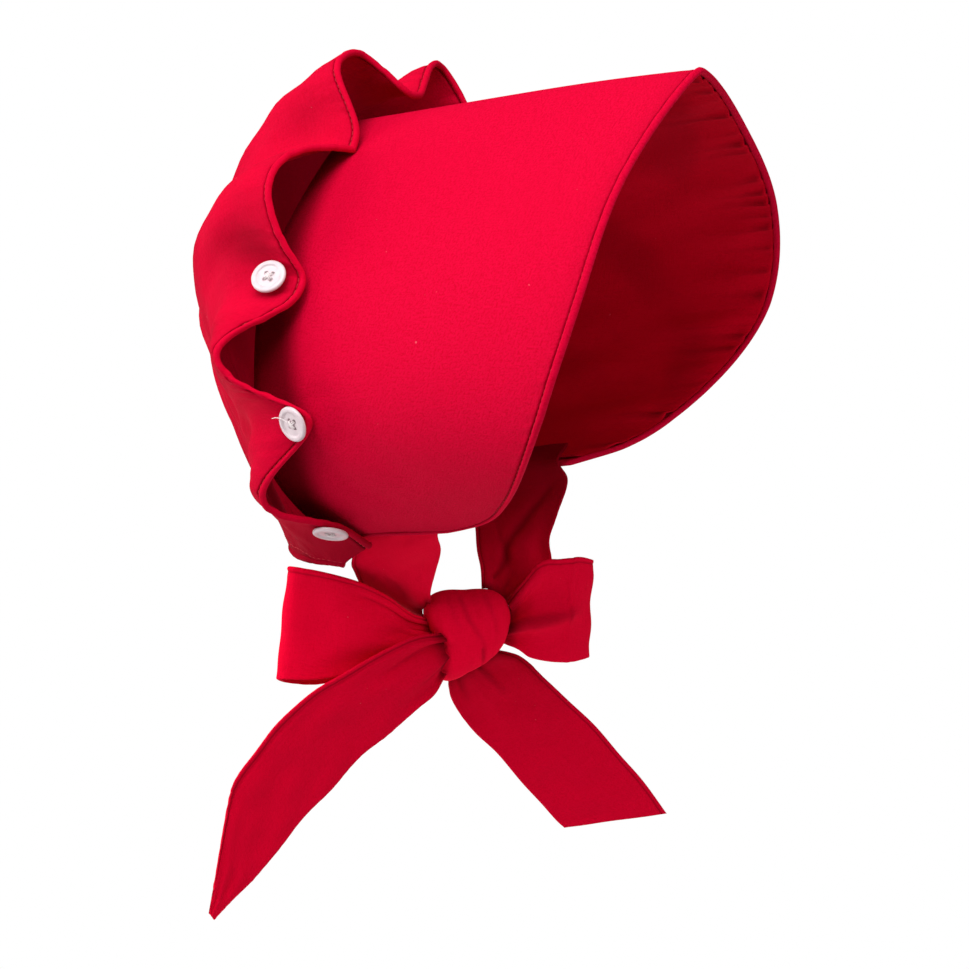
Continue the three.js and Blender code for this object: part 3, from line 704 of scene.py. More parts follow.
@dataclass(frozen=True)
class MouldedFinish:
    """Moulded plastic or smooth spun thread with a faint uneven tone."""

    name: str
    colour: Colour
    dulled: Colour
    roughness: float
    bump: float
    grain: float
    handled_size: float = 0.004
    handled_share: float = 0.6
    uneven: float = 0.1

    def build(self, handling: bpy.types.NodeTree) -> bpy.types.Material:
        """Material of this finish.

        Args:
            handling: The handling group.

        Returns:
            The material.
        """
        material = bpy.data.materials.new(self.name)
        material.use_nodes = True
        sketch = Sketch(material.node_tree)
        shader = material.node_tree.nodes["Principled BSDF"]
        place = sketch.node("ShaderNodeTexCoord").outputs["Object"]
        worn = {"Vector": place, "Size": self.handled_size, "Amount": self.handled_share}
        dull = sketch.node("ShaderNodeGroup", worn, node_tree=handling)
        colour = sketch.mix(dull.outputs["Mask"], opaque(self.colour), opaque(self.dulled))
        grain = sketch.noise(place, self.grain, 2.0)
        spread = sketch.math("MULTIPLY", grain, self.uneven)
        rough = sketch.math("ADD", self.roughness - self.uneven / 2, spread)
        bump = sketch.node("ShaderNodeBump", {"Height": grain, "Distance": self.bump})
        sketch.tree.links.new(colour, shader.inputs["Base Color"])
        sketch.tree.links.new(rough, shader.inputs["Roughness"])
        sketch.tree.links.new(bump.outputs[0], shader.inputs["Normal"])
        return material


RED_COTTON = ClothFinish("red cotton", (0.62, 0.0014, 0.030), (0.53, 0.0008, 0.018), (0.56, 0.0010, 0.022))
# Painted light: the ties and the knot get a lighter copy of the red cotton, as if more brightly lit.
PAINTED_LIGHT_TIE_COTTON = ClothFinish(
    "red tie cotton with painted light", (0.92, 0.0014, 0.036), (0.82, 0.0008, 0.022), (0.86, 0.0010, 0.028)
)
BRIM_COTTON = ClothFinish(
    "stiffened red cotton",
    (0.62, 0.0016, 0.034),
    (0.52, 0.0008, 0.020),
    (0.57, 0.0012, 0.026),
    crinkle=0.85,
)
# Painted shade: the lining's colour is a darker, less blue copy of the red cotton, standing in for the
# shade inside the brim.
LINING_COTTON = ClothFinish(
    "red lining cotton", (0.56, 0.0006, 0.015), (0.48, 0.0004, 0.008), (0.51, 0.0005, 0.011), flecks=0.15
)
RED_THREAD = MouldedFinish(
    "red sewing thread", (0.52, 0.001, 0.018), (0.42, 0.001, 0.012), 0.6, 0.00005, 2500.0
)
WHITE_THREAD = MouldedFinish(
    "white sewing thread", (0.86, 0.78, 0.78), (0.7, 0.6, 0.6), 0.7, 0.00005, 2500.0
)
BUTTON_PLASTIC = MouldedFinish(
    "white button plastic", (0.70, 0.58, 0.61), (0.62, 0.48, 0.52), 0.3, 0.00001, 300.0
)


@dataclass
class Finishes:
    """All materials, built once."""

    red: bpy.types.Material
    brim: bpy.types.Material
    tie: bpy.types.Material
    lining: bpy.types.Material
    red_thread: bpy.types.Material
    white_thread: bpy.types.Material
    button: bpy.types.Material

    @classmethod
    def build(cls) -> "Finishes":
        """Build the node groups and every material from them.

        Returns:
            All the materials.
        """
        cloth, handling = cloth_group(), handling_group()
        return cls(
            red=RED_COTTON.build(cloth, handling),
            brim=BRIM_COTTON.build(cloth, handling),
            tie=PAINTED_LIGHT_TIE_COTTON.build(cloth, handling),
            lining=LINING_COTTON.build(cloth, handling),
            red_thread=RED_THREAD.build(handling),
            white_thread=WHITE_THREAD.build(handling),
            button=BUTTON_PLASTIC.build(handling),
        )


def sewn_row(name: str, path: Array, normals: Array, finishes: Finishes) -> bpy.types.Object:
    """Row of red stitches along a path on the cloth, as one piece."""
    return make_piece(name, EDGE_STITCH.surface(path, normals), finishes.red_thread)


# The brim.

ARCH_AXIS = -118.0
GROOVE_INSET = 3.62
ROLL_PLACES = (
    0, 0.12, 0.3, 0.6, 1.0, 1.5, 2.0, 2.5, 2.9, 3.15, 3.35, 3.5, 3.62, 3.75, 3.95, 4.2, 4.6, 5.2, 6.0, 7.0
)

LINING_PLACES = (0, 0.3, 0.8, 1.5, 2.4, 3.4, 4.5, 5.7, 7.0, 8.5, 10, 12, 14, 17)


class RollRow(NamedTuple):
    """Piped edge: distance from the rim, and how far the front and the back face stand off."""

    inset: float
    front: float
    back: float


class EdgeRow(NamedTuple):
    """The brim's edges at a share of the way round from the top: how far the front reaches, as a
    share of the brim's depth, and the back, as a share of the touch depth."""

    around: float
    front: float
    back: float


EDGES = np.array(
    (
        EdgeRow(0, 0.99, 0.3),
        EdgeRow(0.2, 0.96, 0.35),
        EdgeRow(0.4, 0.95, 0.4),
        EdgeRow(0.6, 0.9, 0.25),
        EdgeRow(0.75, 0.82, 0.1),
        EdgeRow(0.88, 0.7, -0.15),
        EdgeRow(0.96, 0.58, -0.3),
        EdgeRow(1, 0.42, -0.3),
    )
)
BRIM_ROLL = (
    RollRow(0, -0.9, 1.2),
    RollRow(0.15, -0.4, 1.65),
    RollRow(0.5, 0.2, 2.15),
    RollRow(1.1, 0.7, 2.5),
    RollRow(1.9, 0.85, 2.6),
    RollRow(2.7, 0.6, 2.35),
    RollRow(3.2, 0.0, 1.9),
    RollRow(3.5, -0.75, 1.5),
    RollRow(3.75, -0.75, 1.35),
    RollRow(4.1, -0.2, 1.3),
    RollRow(4.8, 0.12, 1.3),
    RollRow(7.0, 0, 1.3),
)
HEM_ROLL = (
    RollRow(0, 0.2, 0.2),
    RollRow(0.15, 0.7, 0.7),
    RollRow(0.5, 1.25, 1.2),
    RollRow(1.1, 1.65, 1.55),
    RollRow(1.9, 1.7, 1.6),
    RollRow(2.7, 1.4, 1.3),
    RollRow(3.2, 0.75, 0.7),
    RollRow(3.5, 0.05, 0.1),
    RollRow(3.75, 0.05, 0.1),
    RollRow(4.1, 0.5, 0.5),
    RollRow(4.8, 0.75, 0.7),
    RollRow(7.0, 0.6, 0.6),
)


def roll_faces(roll: Sequence[RollRow], inset: Array) -> tuple[Array, Array]:
    """Heights of both faces beside a piped edge.

    Args:
        roll: Table of the piped edge.
        inset: Distances from the rim.

    Returns:
        Height of the front face and of the back face, both counted outward.
    """
    keys = [row.inset for row in roll]
    both = along_table(keys, [(row.front, row.back) for row in roll], inset)
    return both[..., 0], both[..., 1]


def groove_shade(inset: Array) -> Array:
    """Painted shade: a dark line along the groove behind a piped edge, fading out over the cloth
    behind it.

    The line is exp(-(distance / half a millimetre) squared), and the fading exp(-distance / 5).

    Args:
        inset: Distances from the rim.

    Returns:
        Painted shade from 0 to 1.
    """
    line = 0.55 * np.exp(-(((inset - GROOVE_INSET) / 0.5) ** 2))
    beyond = 0.2 * np.exp(-np.maximum(inset - GROOVE_INSET, 0) / 5) * (inset > GROOVE_INSET)
    return line + beyond


@dataclass
class Brim:
    """The stiff flared brim: outer cloth with a piped edge, lining, and their stitching."""

    half_width: float = 103.9
    width_flare: float = 0.152
    rise: float = 120.0
    rise_flare: float = 0.092
    drop: float = 92.2
    drop_flare: float = -0.1
    axis_height: float = ARCH_AXIS
    axis_climb: float = 0.115
    corner_power: float = 0.66
    half_sweep: float = 145.9
    half_arc: float = 270.0
    along_per_degree: float = 1.9
    depth: float = 173.9
    touch_depth: float = 31.0
    slow_warp: Uneven = Uneven(0.7, 70, 150, 4)
    puckers: Uneven = Uneven(0.14, 4, 9, 7)
    lining_pleats: Uneven = Uneven(1.0, 5, 10, 21)
    lining_runs: Uneven = Uneven(6.0, 15, 40, 3)
    lining_ripples: Uneven = Uneven(1.0, 16, 40, 11)
    # Where the lining's broad patches of painted shade lie, and the strengths of painted shade: under the
    # crown, in the lining's pleats, in the patches and deep inside the brim.
    lining_patches: Uneven = Uneven(1.0, 40, 90, 17)
    covered_dimming: float = 0.85
    pleat_dimming: float = 0.75
    patch_dimming: float = 0.25
    deep_dimming: float = 0.3
    flat: tuple[float, float] = (0.545, 0.18)
    cut_area: float = 0.085
    rows: int = 46
    pitch: float = 1.6
    stitched_share: float = 0.985
    stitch_sink: float = 0.72
    lining_flat: tuple[float, float] = (0.53, 0.175)
    lining_area: float = 0.082
    lining_inset: float = 3.3
    lining_drop: float = 2.35
    lining_thickness: float = 1.0
    lining_hem: float = 0.3
    lining_rows: int = 34
    lining_pitch: float = 1.5
    dent_lines: tuple[Crease, ...] = (
        Crease(((-165, 34), (-190, 52), (-222, 88)), 1.1, 9.0),
        Crease(((-205, 30), (-225, 45), (-245, 70)), 0.9, 7.0),
        Crease(((-120, 30), (-150, 60)), 0.5, 9.0),
        Crease(((-245, 60), (-215, 105)), -0.5, 8.0),
        Crease(((165, 34), (190, 52), (222, 88)), 0.9, 9.0),
        Crease(((205, 30), (225, 45), (245, 70)), 0.8, 7.0),
    )

    def point(self, angle: Array, depth: Array) -> Array:
        """Outer face at an angle from the top in degrees and a depth forward of the seam.

        Each section is half of a rounded arch: across it half_width * sin(t), up it
        rise * (1 - (1 - cos t) ** corner_power) above the axis and drop * cos t below it, with
        every size changing evenly with the depth.

        Args:
            angle: Angles from the top, in degrees.
            depth: Depths forward of the seam.

        Returns:
            Points in millimetres.
        """
        t = np.radians(angle)
        upper = (self.rise + self.rise_flare * depth) * (
            1 - np.maximum(1 - np.cos(t), 0) ** self.corner_power
        )
        lower = (self.drop + self.drop_flare * depth) * np.cos(t)
        height = np.where(np.abs(angle) < 90, upper, lower)
        across = (self.half_width + self.width_flare * depth) * np.sin(t)
        axis = self.axis_height + self.axis_climb * depth
        return np.stack([across, -depth + 0 * t, axis + height], -1)

    def normal(self, angle: Array, depth: Array) -> Array:
        """Outward direction of the outer face: the cross product of steps forward and around.

        Args:
            angle: Angles from the top, in degrees.
            depth: Depths forward of the seam.

        Returns:
            Directions of length one.
        """
        step = 0.5
        around = self.point(angle + step, depth) - self.point(angle - step, depth)
        forward = self.point(angle, depth + step) - self.point(angle, depth - step)
        return unit(np.cross(forward, around))

    def off(self, angle: Array, depth: Array, lift: Array | float) -> Array:
        """Point off the outer face by `lift`, with the brim's slow warp added."""
        warp = self.slow_warp.at(angle * self.along_per_degree, depth)
        return self.point(angle, depth) + self.normal(angle, depth) * (lift + warp)[..., None]

    def dents(self, angle: Array, depth: Array) -> Array:
        """Depth of the shallow dents that run down the brim from where the crown is tacked."""
        return creased(angle * self.along_per_degree, depth, self.dent_lines)

    def front_edge(self, around: Array) -> Array:
        """Depth of the front edge, by the share of the way round."""
        return column(EDGES[:, 0], EDGES[:, 1], np.abs(around)) * self.depth

    def back_edge(self, around: Array) -> Array:
        """Depth of the hidden back edge."""
        return -column(EDGES[:, 0], EDGES[:, 2], np.abs(around)) * self.touch_depth

    def seam_depth(self, angle: Array) -> Array:
        """Depth of the line along which the crown touches the brim and behind which it covers it."""
        touches = np.array(TOUCHES)
        return np.interp(angle, touches[:, 0], touches[:, 1]) * self.touch_depth

    def grid(
        self, inset: float, end_inset: float, rows: Sequence[float], deep_rows: int, pitch: float
    ) -> tuple[Array, Array, Array, Array]:
        """Grid over the brim: angle, depth and distance from the nearest edge at each point.

        Args:
            inset: Distance of the first row from the front edge.
            end_inset: Distance of the end columns from the brim's ends.
            rows: Fine distances beside each edge.
            deep_rows: Rows from there to the back.
            pitch: Distance between columns.

        Returns:
            Angles, depths, distance from the front edge and distance from the end edge.
        """
        half_run = self.half_arc - end_inset
        run = graded(2 * half_run, pitch, rows, rows) - half_run
        around = run / self.half_arc
        front = self.front_edge(around)[:, None] - inset
        back = self.back_edge(around)[:, None]
        fine = np.asarray(rows, float)[None, :]
        share = np.linspace(0, 1, deep_rows + 1)[None, 1:] ** 1.1
        start = front - fine[:, -1:]
        depth = np.concatenate([front - fine, start + (back - start) * share], axis=1)
        angle = np.repeat((around * self.half_sweep)[:, None], depth.shape[1], axis=1)
        end_gap = np.repeat((half_run - np.abs(run))[:, None], depth.shape[1], axis=1)
        return angle, depth, front - depth, end_gap

    def build(self, finishes: Finishes) -> list[bpy.types.Object]:
        """Outer cloth, lining and stitch rows.

        Args:
            finishes: The materials.

        Returns:
            The brim's pieces.
        """
        angle, depth, inset, end_gap = self.grid(0, 0, ROLL_PLACES, self.rows, self.pitch)
        near = np.minimum(inset, end_gap)
        along = angle * self.along_per_degree
        pucker = self.puckers.at(along, depth * 0.12) * np.exp(-(((near - 5.5) / 3.5) ** 2))
        base = self.off(angle, depth, pucker - self.dents(angle, depth))
        front, back = roll_faces(BRIM_ROLL, near)
        # Painted shade: a dark line in the groove on the outer face, and painted shadow on both faces where
        # the crown covers the brim.
        groove = groove_shade(near)
        covered = self.covered_dimming * ramp(self.seam_depth(angle) - depth, 2, 17)
        shades = (np.maximum(groove, covered), covered)
        surface = closed_sheet(base, self.normal(angle, depth), front, back, shades)
        outer = make_piece("brim_outer_cloth", surface, finishes.brim)
        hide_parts("brim_outer")
        stitches = self.stitch_line(finishes)
        return [outer, stitches, self.build_lining(finishes)]

    def stitch_line(self, finishes: Finishes) -> bpy.types.Object:
        """Row of stitches in the groove behind the piped edge.

        Args:
            finishes: The materials.

        Returns:
            The row as one piece.
        """
        around = np.linspace(-self.stitched_share, self.stitched_share, 900)
        angle = around * self.half_sweep
        depth = self.front_edge(around) - GROOVE_INSET
        path = self.off(angle, depth, np.full(angle.shape, -self.stitch_sink))
        return sewn_row("brim_edge_stitches", path, self.normal(angle, depth), finishes)

    def build_lining(self, finishes: Finishes) -> bpy.types.Object:
        """The lining: its edge is drawn into short pleats by the seam behind the piped edge.

        A pleat is the square of an uneven wave along the edge, and fades with the distance from
        Behind the pleats the lining ripples softly. Painted shade darkens the pleats' valleys, broad
        patches and the lining deep inside the brim.

        Args:
            finishes: The materials.

        Returns:
            The lining as one piece.
        """
        start = self.lining_inset
        angle, depth, inset, _ = self.grid(
            start, start, LINING_PLACES, self.lining_rows, self.lining_pitch
        )
        along = angle * self.along_per_degree
        crest = 0.5 + 0.5 * self.lining_pleats.at(along, depth * 0.04)
        run_in = 6 + np.abs(self.lining_runs.at(along, along * 0))
        fade = np.exp(-inset / run_in)
        pleat = 1.3 * np.clip(crest, 0, 1.5) ** 2 * fade
        swell = np.maximum(1 + self.lining_ripples.at(along, depth * 0.35), 0)
        ripple = 0.9 * swell * np.minimum(inset / 16, 1)
        # Painted shade in the pleats' valleys, in broad patches and deep inside the brim.
        shade = self.pleat_dimming * ramp(crest, 0.55, 1.25) * fade * ramp(inset, 0.5, 3)
        patches = ramp(self.lining_patches.at(along * 0.6, depth), 0.2, 1.6)
        shade += self.patch_dimming * patches + self.deep_dimming * ramp(inset, 60, 150)
        ripple += self.dents(angle, depth)
        drop = self.lining_drop - 0.45 * np.exp(-inset / 2.5)
        base = self.off(angle, depth, -drop - pleat - ripple)
        half = np.full(angle.shape, self.lining_thickness / 2)
        half[:, 0] = self.lining_hem / 2
        surface = closed_sheet(base, self.normal(angle, depth), half, half, (shade, shade))
        lining = make_piece("brim_lining_cloth", surface, finishes.lining)
        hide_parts("brim_lining")
        return lining


# The crown.


class Touch(NamedTuple):
    """Where the hem touches the brim: angle, depth share and lift."""

    angle: float
    depth: float
    lift: float


class Fold(NamedTuple):
    """A fold of the hem between two touches: shares of height and setback, lean, sharpness."""

    height: float
    setback: float
    lean: float
    sharpness: float


class Hollow(NamedTuple):
    """A shallow dent in the crown: place along the hem, distance behind it, reach and depth."""

    place: float
    inset: float
    reach: float
    depth: float


class Tuck(NamedTuple):
    """Small tucks pulled in by a thread: place along the hem, how far they run and their depth."""

    place: float
    reach: float
    depth: float


class Neighbour(NamedTuple):
    """A place beside another, in steps of the rounding's reach, and its weight in their mean."""

    step: int
    weight: float


class OnCrown(NamedTuple):
    """Where the points of the crown's grid lie: their columns' places in folds, the distance run
    along the hem, and the distances from the hem and from the nape."""

    places: Array
    u: Array
    inset: Array
    nape_gap: Array


class Form(NamedTuple):
    """The crown's plain form at a share of the way from the top to the ends."""

    around: float
    run: float
    puff: float
    round: float
    above: float


TOUCHES = (
    Touch(-148, 0.99, 3.5),
    Touch(-93.2, 0.96, 1.5),
    Touch(-52.1, 0.46, 3.5),
    Touch(-16.3, 0.24, 1.5),
    Touch(12.9, 0.26, 16.6),
    Touch(45, 1, 8),
    Touch(93.2, 0.96, 1.5),
    Touch(148, 0.99, 3.5),
)
FOLDS = (
    Fold(0.43, 0.8, 1.6, 1.38),
    Fold(0.6, 1, 0.77, 1.46),
    Fold(0.68, 0.41, 0.94, 0.45),
    Fold(0.51, 0.55, 1.28, 1.21),
    Fold(1, 0.6, 1.03, 0.92),
    Fold(0.6, 1, 1.25, 1.46),
    Fold(0.43, 0.8, 0.7, 1.38),
)
CROWN_FORM = (
    Form(0, 0.4, 0.1, 1.33, 1.5),
    Form(0.3, 0.71, 0.16, 0.61, 1.36),
    Form(0.55, 0.32, 0.19, 0.45, 1.15),
    Form(0.75, 0.32, 0.12, 0.51, 0.54),
    Form(0.9, 0.12, 0.05, 0.27, 0.24),
    Form(1, 0.05, 0.05, 0.04, 0.02),
)
HOLLOWS = (
    Hollow(2.1, 26, 19, 2.6),
    Hollow(1.5, 34, 15, 1.6),
    Hollow(3.3, 30, 18, 1.6),
    Hollow(4.6, 34, 20, 2.0),
    Hollow(5.4, 30, 16, 1.8),
)
TUCKS = (
    Tuck(1.04, 9, 0.8),
    Tuck(1.92, 13, 1.0),
    Tuck(3.0, 7, 1.0),
    Tuck(5.08, 13, 1.0),
    Tuck(5.94, 9, 0.8),
)
ROUNDING = (Neighbour(-2, 0.1), Neighbour(-1, 0.2), Neighbour(0, 0.4), Neighbour(1, 0.2), Neighbour(2, 0.1))
NAPE_ROLL_PLACES = (0, 0.12, 0.3, 0.6, 1.0, 1.5, 2.1, 2.7, 3.3, 3.9, 4.6)


@dataclass
class Crown:
    """The soft crown: a gathered bag of cloth with a wavy piped hem."""

    brim: Brim
    deep: float = 92.0
    fold_height: float = 44.0
    fold_setback: float = 29.0
    fold_fade: float = 2.3
    fold_softening: float = 3.0
    hem_rounding: float = 0.035
    tack_place: float = 3.0
    nape_half_width: float = 58.0
    nape_back: float = 54.0
    nape_front: float = -15.0
    nape_height: float = -212.0
    nape_corner_rise: float = 5.5
    gather_depth: float = 0.4
    gathers: int = 20
    flat: tuple[float, float] = (0.62, 0.19)
    cut_area: float = 0.095
    columns: int = 560
    inner_rows: int = 50
    casing_inset: float = 11.0
    casing_lift: float = 0.62
    hem_stitch_lift: float = 0.1
    unsewn_columns: int = 4
    middle: tuple[float, float, float] = (0.0, 10.0, -100.0)
    tuck_spread: float = 6.5
    tuck_pitch: float = 4.4
    puckers: Uneven = Uneven(0.16, 4, 9, 31)
    broad_waves: Uneven = Uneven(0.9, 28, 70, 33)
    hem_waves: Uneven = Uneven(0.3, 9, 20, 35)
    ruffle: Uneven = Uneven(0.25, 5, 9, 37)
    # Where the crown's broad patches of painted shade lie, and the strengths of painted shade: toward the
    # nape, in the patches, in the hollows and inside the folds.
    patches: Uneven = Uneven(1.0, 60, 130, 39)
    nape_dimming: float = 0.52
    nape_dimming_reach: float = 90.0
    patch_dimming: float = 0.2
    hollow_dimming: float = 0.2
    inner_dimming: float = 0.6

    def hem(self, place: Array, softness: Array) -> tuple[Array, Array, Array, Array]:
        """Angle, seam point, hem point and brim normal at a place counted in folds.

        Within a fold the hem rises and sets back by sin(pi * share ** lean) ** (2 * sharpness).
        The softness, 0 at the hem, brings every fold's sharpness to one.

        Args:
            place: Places along the hem, counted in folds from the wearer's right.
            softness: Softness at each of them, from 0 to 1.

        Returns:
            Angles, seam points, hem points and normals.
        """
        touches, folds = np.array(TOUCHES), np.array(FOLDS)
        index = np.clip(np.floor(place).astype(int), 0, len(folds) - 1)
        share = np.clip(place - index, 0, 1)
        here = touches[index] + (touches[index + 1] - touches[index]) * share[..., None]
        fold = folds[index]
        sharpness = fold[..., 3] + (1 - fold[..., 3]) * softness
        wave = np.sin(np.pi * share ** fold[..., 2]) ** (2 * sharpness)
        angle, depth, lift = here[..., 0], here[..., 1] * self.brim.touch_depth, here[..., 2]
        normal = self.brim.normal(angle, depth)
        seam = self.brim.point(angle, depth) + normal * lift[..., None]
        rise = lift + fold[..., 0] * self.fold_height * wave
        set_back = depth - fold[..., 1] * self.fold_setback * wave
        hem = self.brim.point(angle, set_back) + normal * rise[..., None]
        return angle, seam, hem, normal

    def rounded_hem(self, place: Array, softness: Array) -> tuple[Array, Array, Array, Array]:
        """The hem with its turns rounded, except at the tack: a weighted mean of five places.

        Args:
            place: Places along the hem, counted in folds from the wearer's right.
            softness: Softness at each of them, from 0 to 1.

        Returns:
            Angles, seam points, hem points and normals.
        """
        reach = self.hem_rounding * (1 - np.exp(-(((place - self.tack_place) / 0.15) ** 2)))
        found = [self.hem(place + beside.step * reach, softness) for beside in ROUNDING]
        weights = [beside.weight for beside in ROUNDING]
        return tuple(sum(part[k] * weight for part, weight in zip(found, weights)) for k in range(4))

    def point(self, place: Array, share: Array) -> Array:
        """Middle surface: a cubic curve from the seam to the nape, plus the hem's fold fading out.

        The curve has four control points and the usual weights of rest and share, and the fold
        fades as rest ** fold_fade.

        Args:
            place: Places along the hem, counted in folds from the wearer's right.
            share: Share of the way from hem to nape.

        Returns:
            Points in millimetres.
        """
        angle, seam, hem, normal = self.rounded_hem(place, np.minimum(share * self.fold_softening, 1))
        around = np.minimum(np.abs(angle) / TOUCHES[-1].angle, 1)
        keys = [row.around for row in CROWN_FORM]
        form = along_table(keys, [row[1:] for row in CROWN_FORM], around) * self.deep
        turn = (place / len(FOLDS) * 2 - 1) * np.pi / 2
        outward = np.stack([np.sin(turn), np.cos(turn), 0 * turn], -1)
        nape = np.stack(
            [
                self.nape_half_width * np.sin(turn),
                self.nape_front + self.nape_back * np.cos(turn),
                self.nape_height + self.nape_corner_rise * np.sin(turn) ** 8,
            ],
            -1,
        )
        leave = seam + np.array([0, 1, 0]) * form[..., 0:1] + normal * form[..., 1:2]
        arrive = nape + np.array([0, 0, 1]) * form[..., 3:4] + outward * form[..., 2:3]
        s = share[..., None]
        r = 1 - s
        gather = np.cos(turn * self.gathers * 2) * self.gather_depth * share**3 * np.cos(turn) ** 10
        plain = seam * r**3 + 3 * leave * r**2 * s + 3 * arrive * r * s**2 + nape * s**3
        return plain + (hem - seam) * r**self.fold_fade + outward * gather[..., None]

    def grid(self, places: Array) -> tuple[Array, Array, Array]:
        """Points at even places along the hem and graded distances from it.

        Each column is first followed finely, then read at the wanted distances along its own
        length, by one interpolation over all columns laid end to end.

        Args:
            places: Places along the hem.

        Returns:
            Points, distance from the hem and distance from the nape.
        """
        fine = np.linspace(0, 1, 400) ** 1.3
        place, share = np.meshgrid(places, fine, indexing="ij")
        run = arc_lengths(self.point(place, share), 1)
        total = run[:, -1:]
        start, end = np.asarray(ROLL_PLACES)[None], np.asarray(NAPE_ROLL_PLACES)[None, ::-1]
        steps = np.linspace(0, 1, self.inner_rows)[None, 1:-1]
        inner = start[:, -1:] + (total - end[:, :1] - start[:, -1:]) * steps
        wanted = np.concatenate([start + 0 * total, inner, total - end], axis=1)
        wanted = np.maximum.accumulate(np.clip(wanted, 0, total), axis=1)
        offset = np.arange(len(places))[:, None] * 1000.0
        share = np.interp((wanted + offset).ravel(), (run + offset).ravel(), share.ravel())
        share = share.reshape(wanted.shape)
        place = np.repeat(places[:, None], wanted.shape[1], axis=1)
        return self.point(place, share), wanted, total - wanted

    def build(self, finishes: Finishes) -> list[bpy.types.Object]:
        """Crown cloth and its two rows of stitching.

        Args:
            finishes: The materials.

        Returns:
            The crown's pieces.
        """
        places = self.even_places(self.columns)
        points, inset, nape_gap = self.grid(places)
        at = OnCrown(places, arc_lengths(points, 0)[:, :1] + 0 * inset, inset, nape_gap)
        points = points + surface_normals(points) * self.relief(at)[..., None]
        normals = surface_normals(points)
        outside = self.outside_sign(points, normals)
        # Painted shade of the outer and the inner face.
        shades = self.shades(at, normals * outside)
        front, back = roll_faces(HEM_ROLL, inset)
        nape_front, nape_back = roll_faces(HEM_ROLL, nape_gap)
        near_nape = nape_gap < HEM_ROLL[-1].inset
        front, back = np.where(near_nape, nape_front, front), np.where(near_nape, nape_back, back)
        if outside < 0:
            shades = shades[::-1]
        surface = closed_sheet(points, normals, front, back, shades)
        cloth = make_piece("crown_cloth", surface, finishes.red)
        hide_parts("crown")
        outward = normals * outside
        row = ROLL_PLACES.index(GROOVE_INSET)
        path, facing = self.along_row(points, outward, row, self.hem_stitch_lift)
        hem_row = sewn_row("crown_hem_stitches", path, facing, finishes)
        row = int(np.argmin(np.abs(nape_gap[len(places) // 2] - self.casing_inset)))
        path, facing = self.along_row(points, outward, row, self.casing_lift)
        casing_row = sewn_row("crown_casing_stitches", path, facing, finishes)
        hem_length, strip_length = arc_lengths(points, 0)[-1, 0], inset[len(places) // 2, -1]
        LOG.info("crown hem %.0f mm, middle strip %.0f mm", hem_length, strip_length)
        return [cloth, hem_row, casing_row]

    def relief(self, at: OnCrown) -> Array:
        """Height of the cloth over its smooth form.

        It is short puckers beside the hem, broad waves, short waves that fade out from the hem,
        and behind the head a ruffle with a pressed line, less the tucks and the hollows.

        Args:
            at: Where the points lie.

        Returns:
            Height at each point.
        """
        beside_hem = np.exp(-(((at.inset - 5.5) / 4.5) ** 2))
        near_hem = np.exp(-at.inset / 25) * np.clip(at.inset / 5, 0, 1)
        total = self.puckers.at(at.u, at.inset * 0.15) * beside_hem
        total += self.broad_waves.at(at.u, at.inset) * self.broad(at)
        total += self.hem_waves.at(at.u, at.inset * 0.5) * near_hem
        casing = np.exp(-(((at.nape_gap - self.casing_inset) / 1.2) ** 2))
        ruffle = np.exp(-(at.nape_gap / 22)) * self.ruffle.at(at.u * 1.6, at.nape_gap * 0.1)
        behind = np.sin(at.places / len(FOLDS) * np.pi)[:, None] ** 12
        total += (ruffle - 0.5 * casing) * np.clip(at.inset / 40, 0, 1) * behind
        return total - self.tucks(at) - self.hollows(at)

    def broad(self, at: OnCrown) -> Array:
        """Share of the broad waves: none at the hem and little at the nape."""
        return np.clip(at.inset / 30, 0, 1) * np.clip(at.nape_gap / 90, 0.06, 1)

    def shades(self, at: OnCrown, outward: Array) -> tuple[Array, Array]:
        """Painted shade of the outer and of the inner face.

        The outer face gets painted shade in the groove, toward the nape, in broad patches and in the
        hollows. The inner face gets painted shade away from the hem, least where it faces up.

        Args:
            at: Where the points lie.
            outward: Outward normal at each point.

        Returns:
            Painted shade of the outer face and of the inner face.
        """
        groove = groove_shade(at.inset)
        outer = groove + self.nape_dimming * ramp(-at.nape_gap, -self.nape_dimming_reach, 0)
        patches = ramp(self.patches.at(at.u, at.inset), 0, 1.8) * self.broad(at)
        outer += self.patch_dimming * patches + self.hollow_dimming * self.hollows(at)
        facing_up = ramp(-outward[..., 2], -0.1, 0.6)
        deep = self.inner_dimming * ramp(at.inset, 22, 55)
        return outer, np.maximum(groove, deep * (1 - 0.8 * facing_up))

    def along_row(self, points: Array, outward: Array, row: int, lift: float) -> tuple[Array, Array]:
        """Path over one row of the grid, short of both ends, and its normals."""
        sewn = slice(self.unsewn_columns, -self.unsewn_columns)
        return points[sewn, row] + outward[sewn, row] * lift, outward[sewn, row]

    def even_places(self, count: int) -> Array:
        """Places whose hem points are evenly far apart, with fine ones at both ends.

        Args:
            count: Number of even steps, about.

        Returns:
            Rising places along the hem.
        """
        fine = np.linspace(0, len(FOLDS), 4000)
        hem = self.rounded_hem(fine, np.zeros(fine.shape))[2]
        run = distance_run(hem)
        ends = np.asarray(NAPE_ROLL_PLACES)
        wanted = graded(run[-1], run[-1] / count, ends, ends)
        return np.interp(wanted, run, fine)

    def hollows(self, at: OnCrown) -> Array:
        """Depth of the shallow dents: each falls off as exp(-(distance / reach) squared).

        Args:
            at: Where the points lie.

        Returns:
            Depth at each point.
        """
        total = np.zeros(at.inset.shape)
        for hollow in HOLLOWS:
            across = at.u - np.interp(hollow.place, at.places, at.u[:, 0])
            gap = np.hypot(across, at.inset - hollow.inset)
            total += hollow.depth * np.exp(-((gap / hollow.reach) ** 2))
        return total * np.clip((at.inset - 5) / 8, 0, 1)

